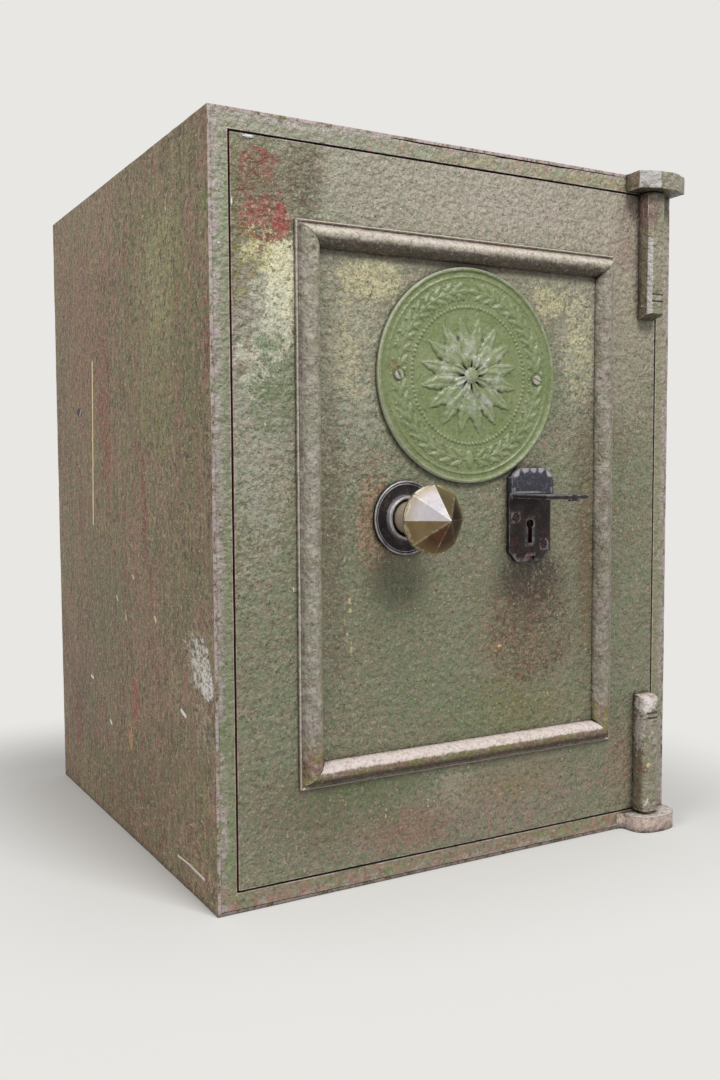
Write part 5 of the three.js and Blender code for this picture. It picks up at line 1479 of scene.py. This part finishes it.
def make_rose():
    low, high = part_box("handle_rose")
    centre = (low + high) / 2
    rings = []
    for index in range(ROSE_SPOKES):
        angle = 2 * math.pi * index / ROSE_SPOKES
        ring = []
        for radius, out in ROSE_PROFILE:
            place = Vector((math.cos(angle), 0, math.sin(angle))) * radius * MM
            lump = 1 + noise.noise(place / ROSE_WEAR_SIZE)
            worn = ROSE_WEAR * lump if out > WORN_ABOVE else 0.0
            ring.append((centre.x + place.x, high.y - (out - worn) * MM, centre.z + place.z))
        rings.append(ring)
    shape = new_shape("edge")
    edge = shape.verts.layers.float["edge"]
    add_tube(shape, rings + rings[:1], capped=False)
    bmesh.ops.remove_doubles(shape, verts=shape.verts, dist=1e-7)
    for vert in shape.verts:
        vert[edge] = smooth_step((high.y - vert.co.y) / MM, ROSE_FLAT, ROSE_RING)
    face_outward(shape)
    shade(shape, 70)
    add_piece("handle_rose_turned", shape, "rose", "handle_rose")


make_rose()

# The pieces that the CAD already shapes well keep their meshes, with rounded edges
KEPT = {
    "inner": ["jamb_frame", "chamber_lining", "shelf", "door_case", "door_case_cover"],
    "steel": [
        "back_rim", "shelf_cleat_left", "shelf_cleat_right", "knob_spindle", "crank",
        "bolt_lower", "bolt_middle", "bolt_upper", "bar_guide_lower", "bar_guide_upper",
        "hinge_side_dog", "key_pin", "lever_pivot", "cover_pin", "upper_pivot_pin",
        "lower_pivot_pin", *(f"back_screw_{number}" for number in range(1, 5)),
        *(f"case_cover_screw_{number}" for number in range(1, 5)),
    ],
    "lock_brass": ["pivot_washer", "lock_cap", "lock_bolt", "lever_1", "lever_2", "lever_3"],
    "iron": ["lock_case"],
    "packing": ["fire_packing", "door_packing"],
}
for look, nodes in KEPT.items():
    for node in nodes:
        kept = frame["nodes"][node]
        kept.data.materials.clear()
        kept.data.materials.append(LOOKS[look])
        rounding = kept.modifiers.new("rounding", "BEVEL")
        rounding.width = 0.3 * MM
        rounding.segments = 2
        rounding.limit_method = "ANGLE"
        rounding.angle_limit = math.radians(40)


# The stage: a plain pale floor that fades into a pale surround
FLOOR_SIZE = 14.0
FLOOR_SOLID = 0.02
FLOOR_FADED = 0.30
BACKDROP = (232, 231, 228)
SURROUND_STRENGTH = 0.42


def blend_shaders(tree, share, first, second):
    node = tree.nodes.new("ShaderNodeMixShader")
    for output, socket in zip((share, first, second), node.inputs):
        tree.links.new(output, socket)
    return node.outputs[0]


def make_floor():
    shape = bmesh.new()
    bmesh.ops.create_grid(shape, x_segments=1, y_segments=1, size=FLOOR_SIZE / 2)
    mesh = bpy.data.meshes.new("floor")
    shape.to_mesh(mesh)
    shape.free()
    look = Look("floor_paper", specular=0.1)
    look.base = (222, 221, 218)
    look.coat((204, 202, 198), look.grain(0.02, 3.0, 0.5), 0.04)
    look.finish(0.9)
    from_middle = look.vector("ABSOLUTE", look.place)
    beyond = look.vector("SUBTRACT", from_middle, (SHELL_HIGH.x, SHELL_HIGH.y, 0.0))
    distance = look.vector("LENGTH", look.vector("MAXIMUM", beyond, (0.0, 0.0, 0.0)))
    faded = look.step(distance, FLOOR_SOLID, FLOOR_FADED)
    clear = look.add("BsdfTransparent").outputs[0]
    blend = blend_shaders(look.material.node_tree, faded, look.shader.outputs[0], clear)
    look.put(blend, look.nodes["Material Output"].inputs["Surface"])
    mesh.materials.append(look.material)
    floor = bpy.data.objects.new("floor", mesh)
    bpy.context.scene.collection.objects.link(floor)


def area_light(name, place, target, size, power):
    data = bpy.data.lights.new(name, "AREA")
    data.shape = "RECTANGLE"
    data.size, data.size_y = size
    data.energy = power
    lamp = bpy.data.objects.new(name, data)
    lamp.location = place
    lamp.rotation_euler = (Vector(target) - Vector(place)).to_track_quat("-Z", "Y").to_euler()
    bpy.context.scene.collection.objects.link(lamp)


def make_world():
    """Soft light all round; the camera and mirrored rays see the backdrop instead."""
    world = bpy.data.worlds.new("surround")
    world.use_nodes = True
    tree = world.node_tree
    soft = tree.nodes["Background"]
    plain = tree.nodes.new("ShaderNodeBackground")
    for node, tint, strength in (
        (soft, (1.0, 1.0, 1.0, 1.0), SURROUND_STRENGTH), (plain, linear(BACKDROP), 1.0)
    ):
        node.inputs["Color"].default_value = tint
        node.inputs["Strength"].default_value = strength
    rays = tree.nodes.new("ShaderNodeLightPath")
    seen = rays.outputs["Is Camera Ray"]
    for kind in ("Is Glossy Ray", "Is Transmission Ray"):
        either = tree.nodes.new("ShaderNodeMath")
        either.operation = "MAXIMUM"
        tree.links.new(seen, either.inputs[0])
        tree.links.new(rays.outputs[kind], either.inputs[1])
        seen = either.outputs[0]
    blend = blend_shaders(tree, seen, soft.outputs[0], plain.outputs[0])
    tree.links.new(blend, tree.nodes["World Output"].inputs["Surface"])
    bpy.context.scene.world = world


make_floor()
make_world()
area_light("key", (0.15, -1.55, 1.85), (0, -0.2, 0.35), (0.8, 0.5), 30)
area_light("fill", (-2.2, -0.7, 1.5), (0, 0, 0.3), (1.2, 1.2), 25)
bpy.context.scene.view_settings.view_transform = "Standard"
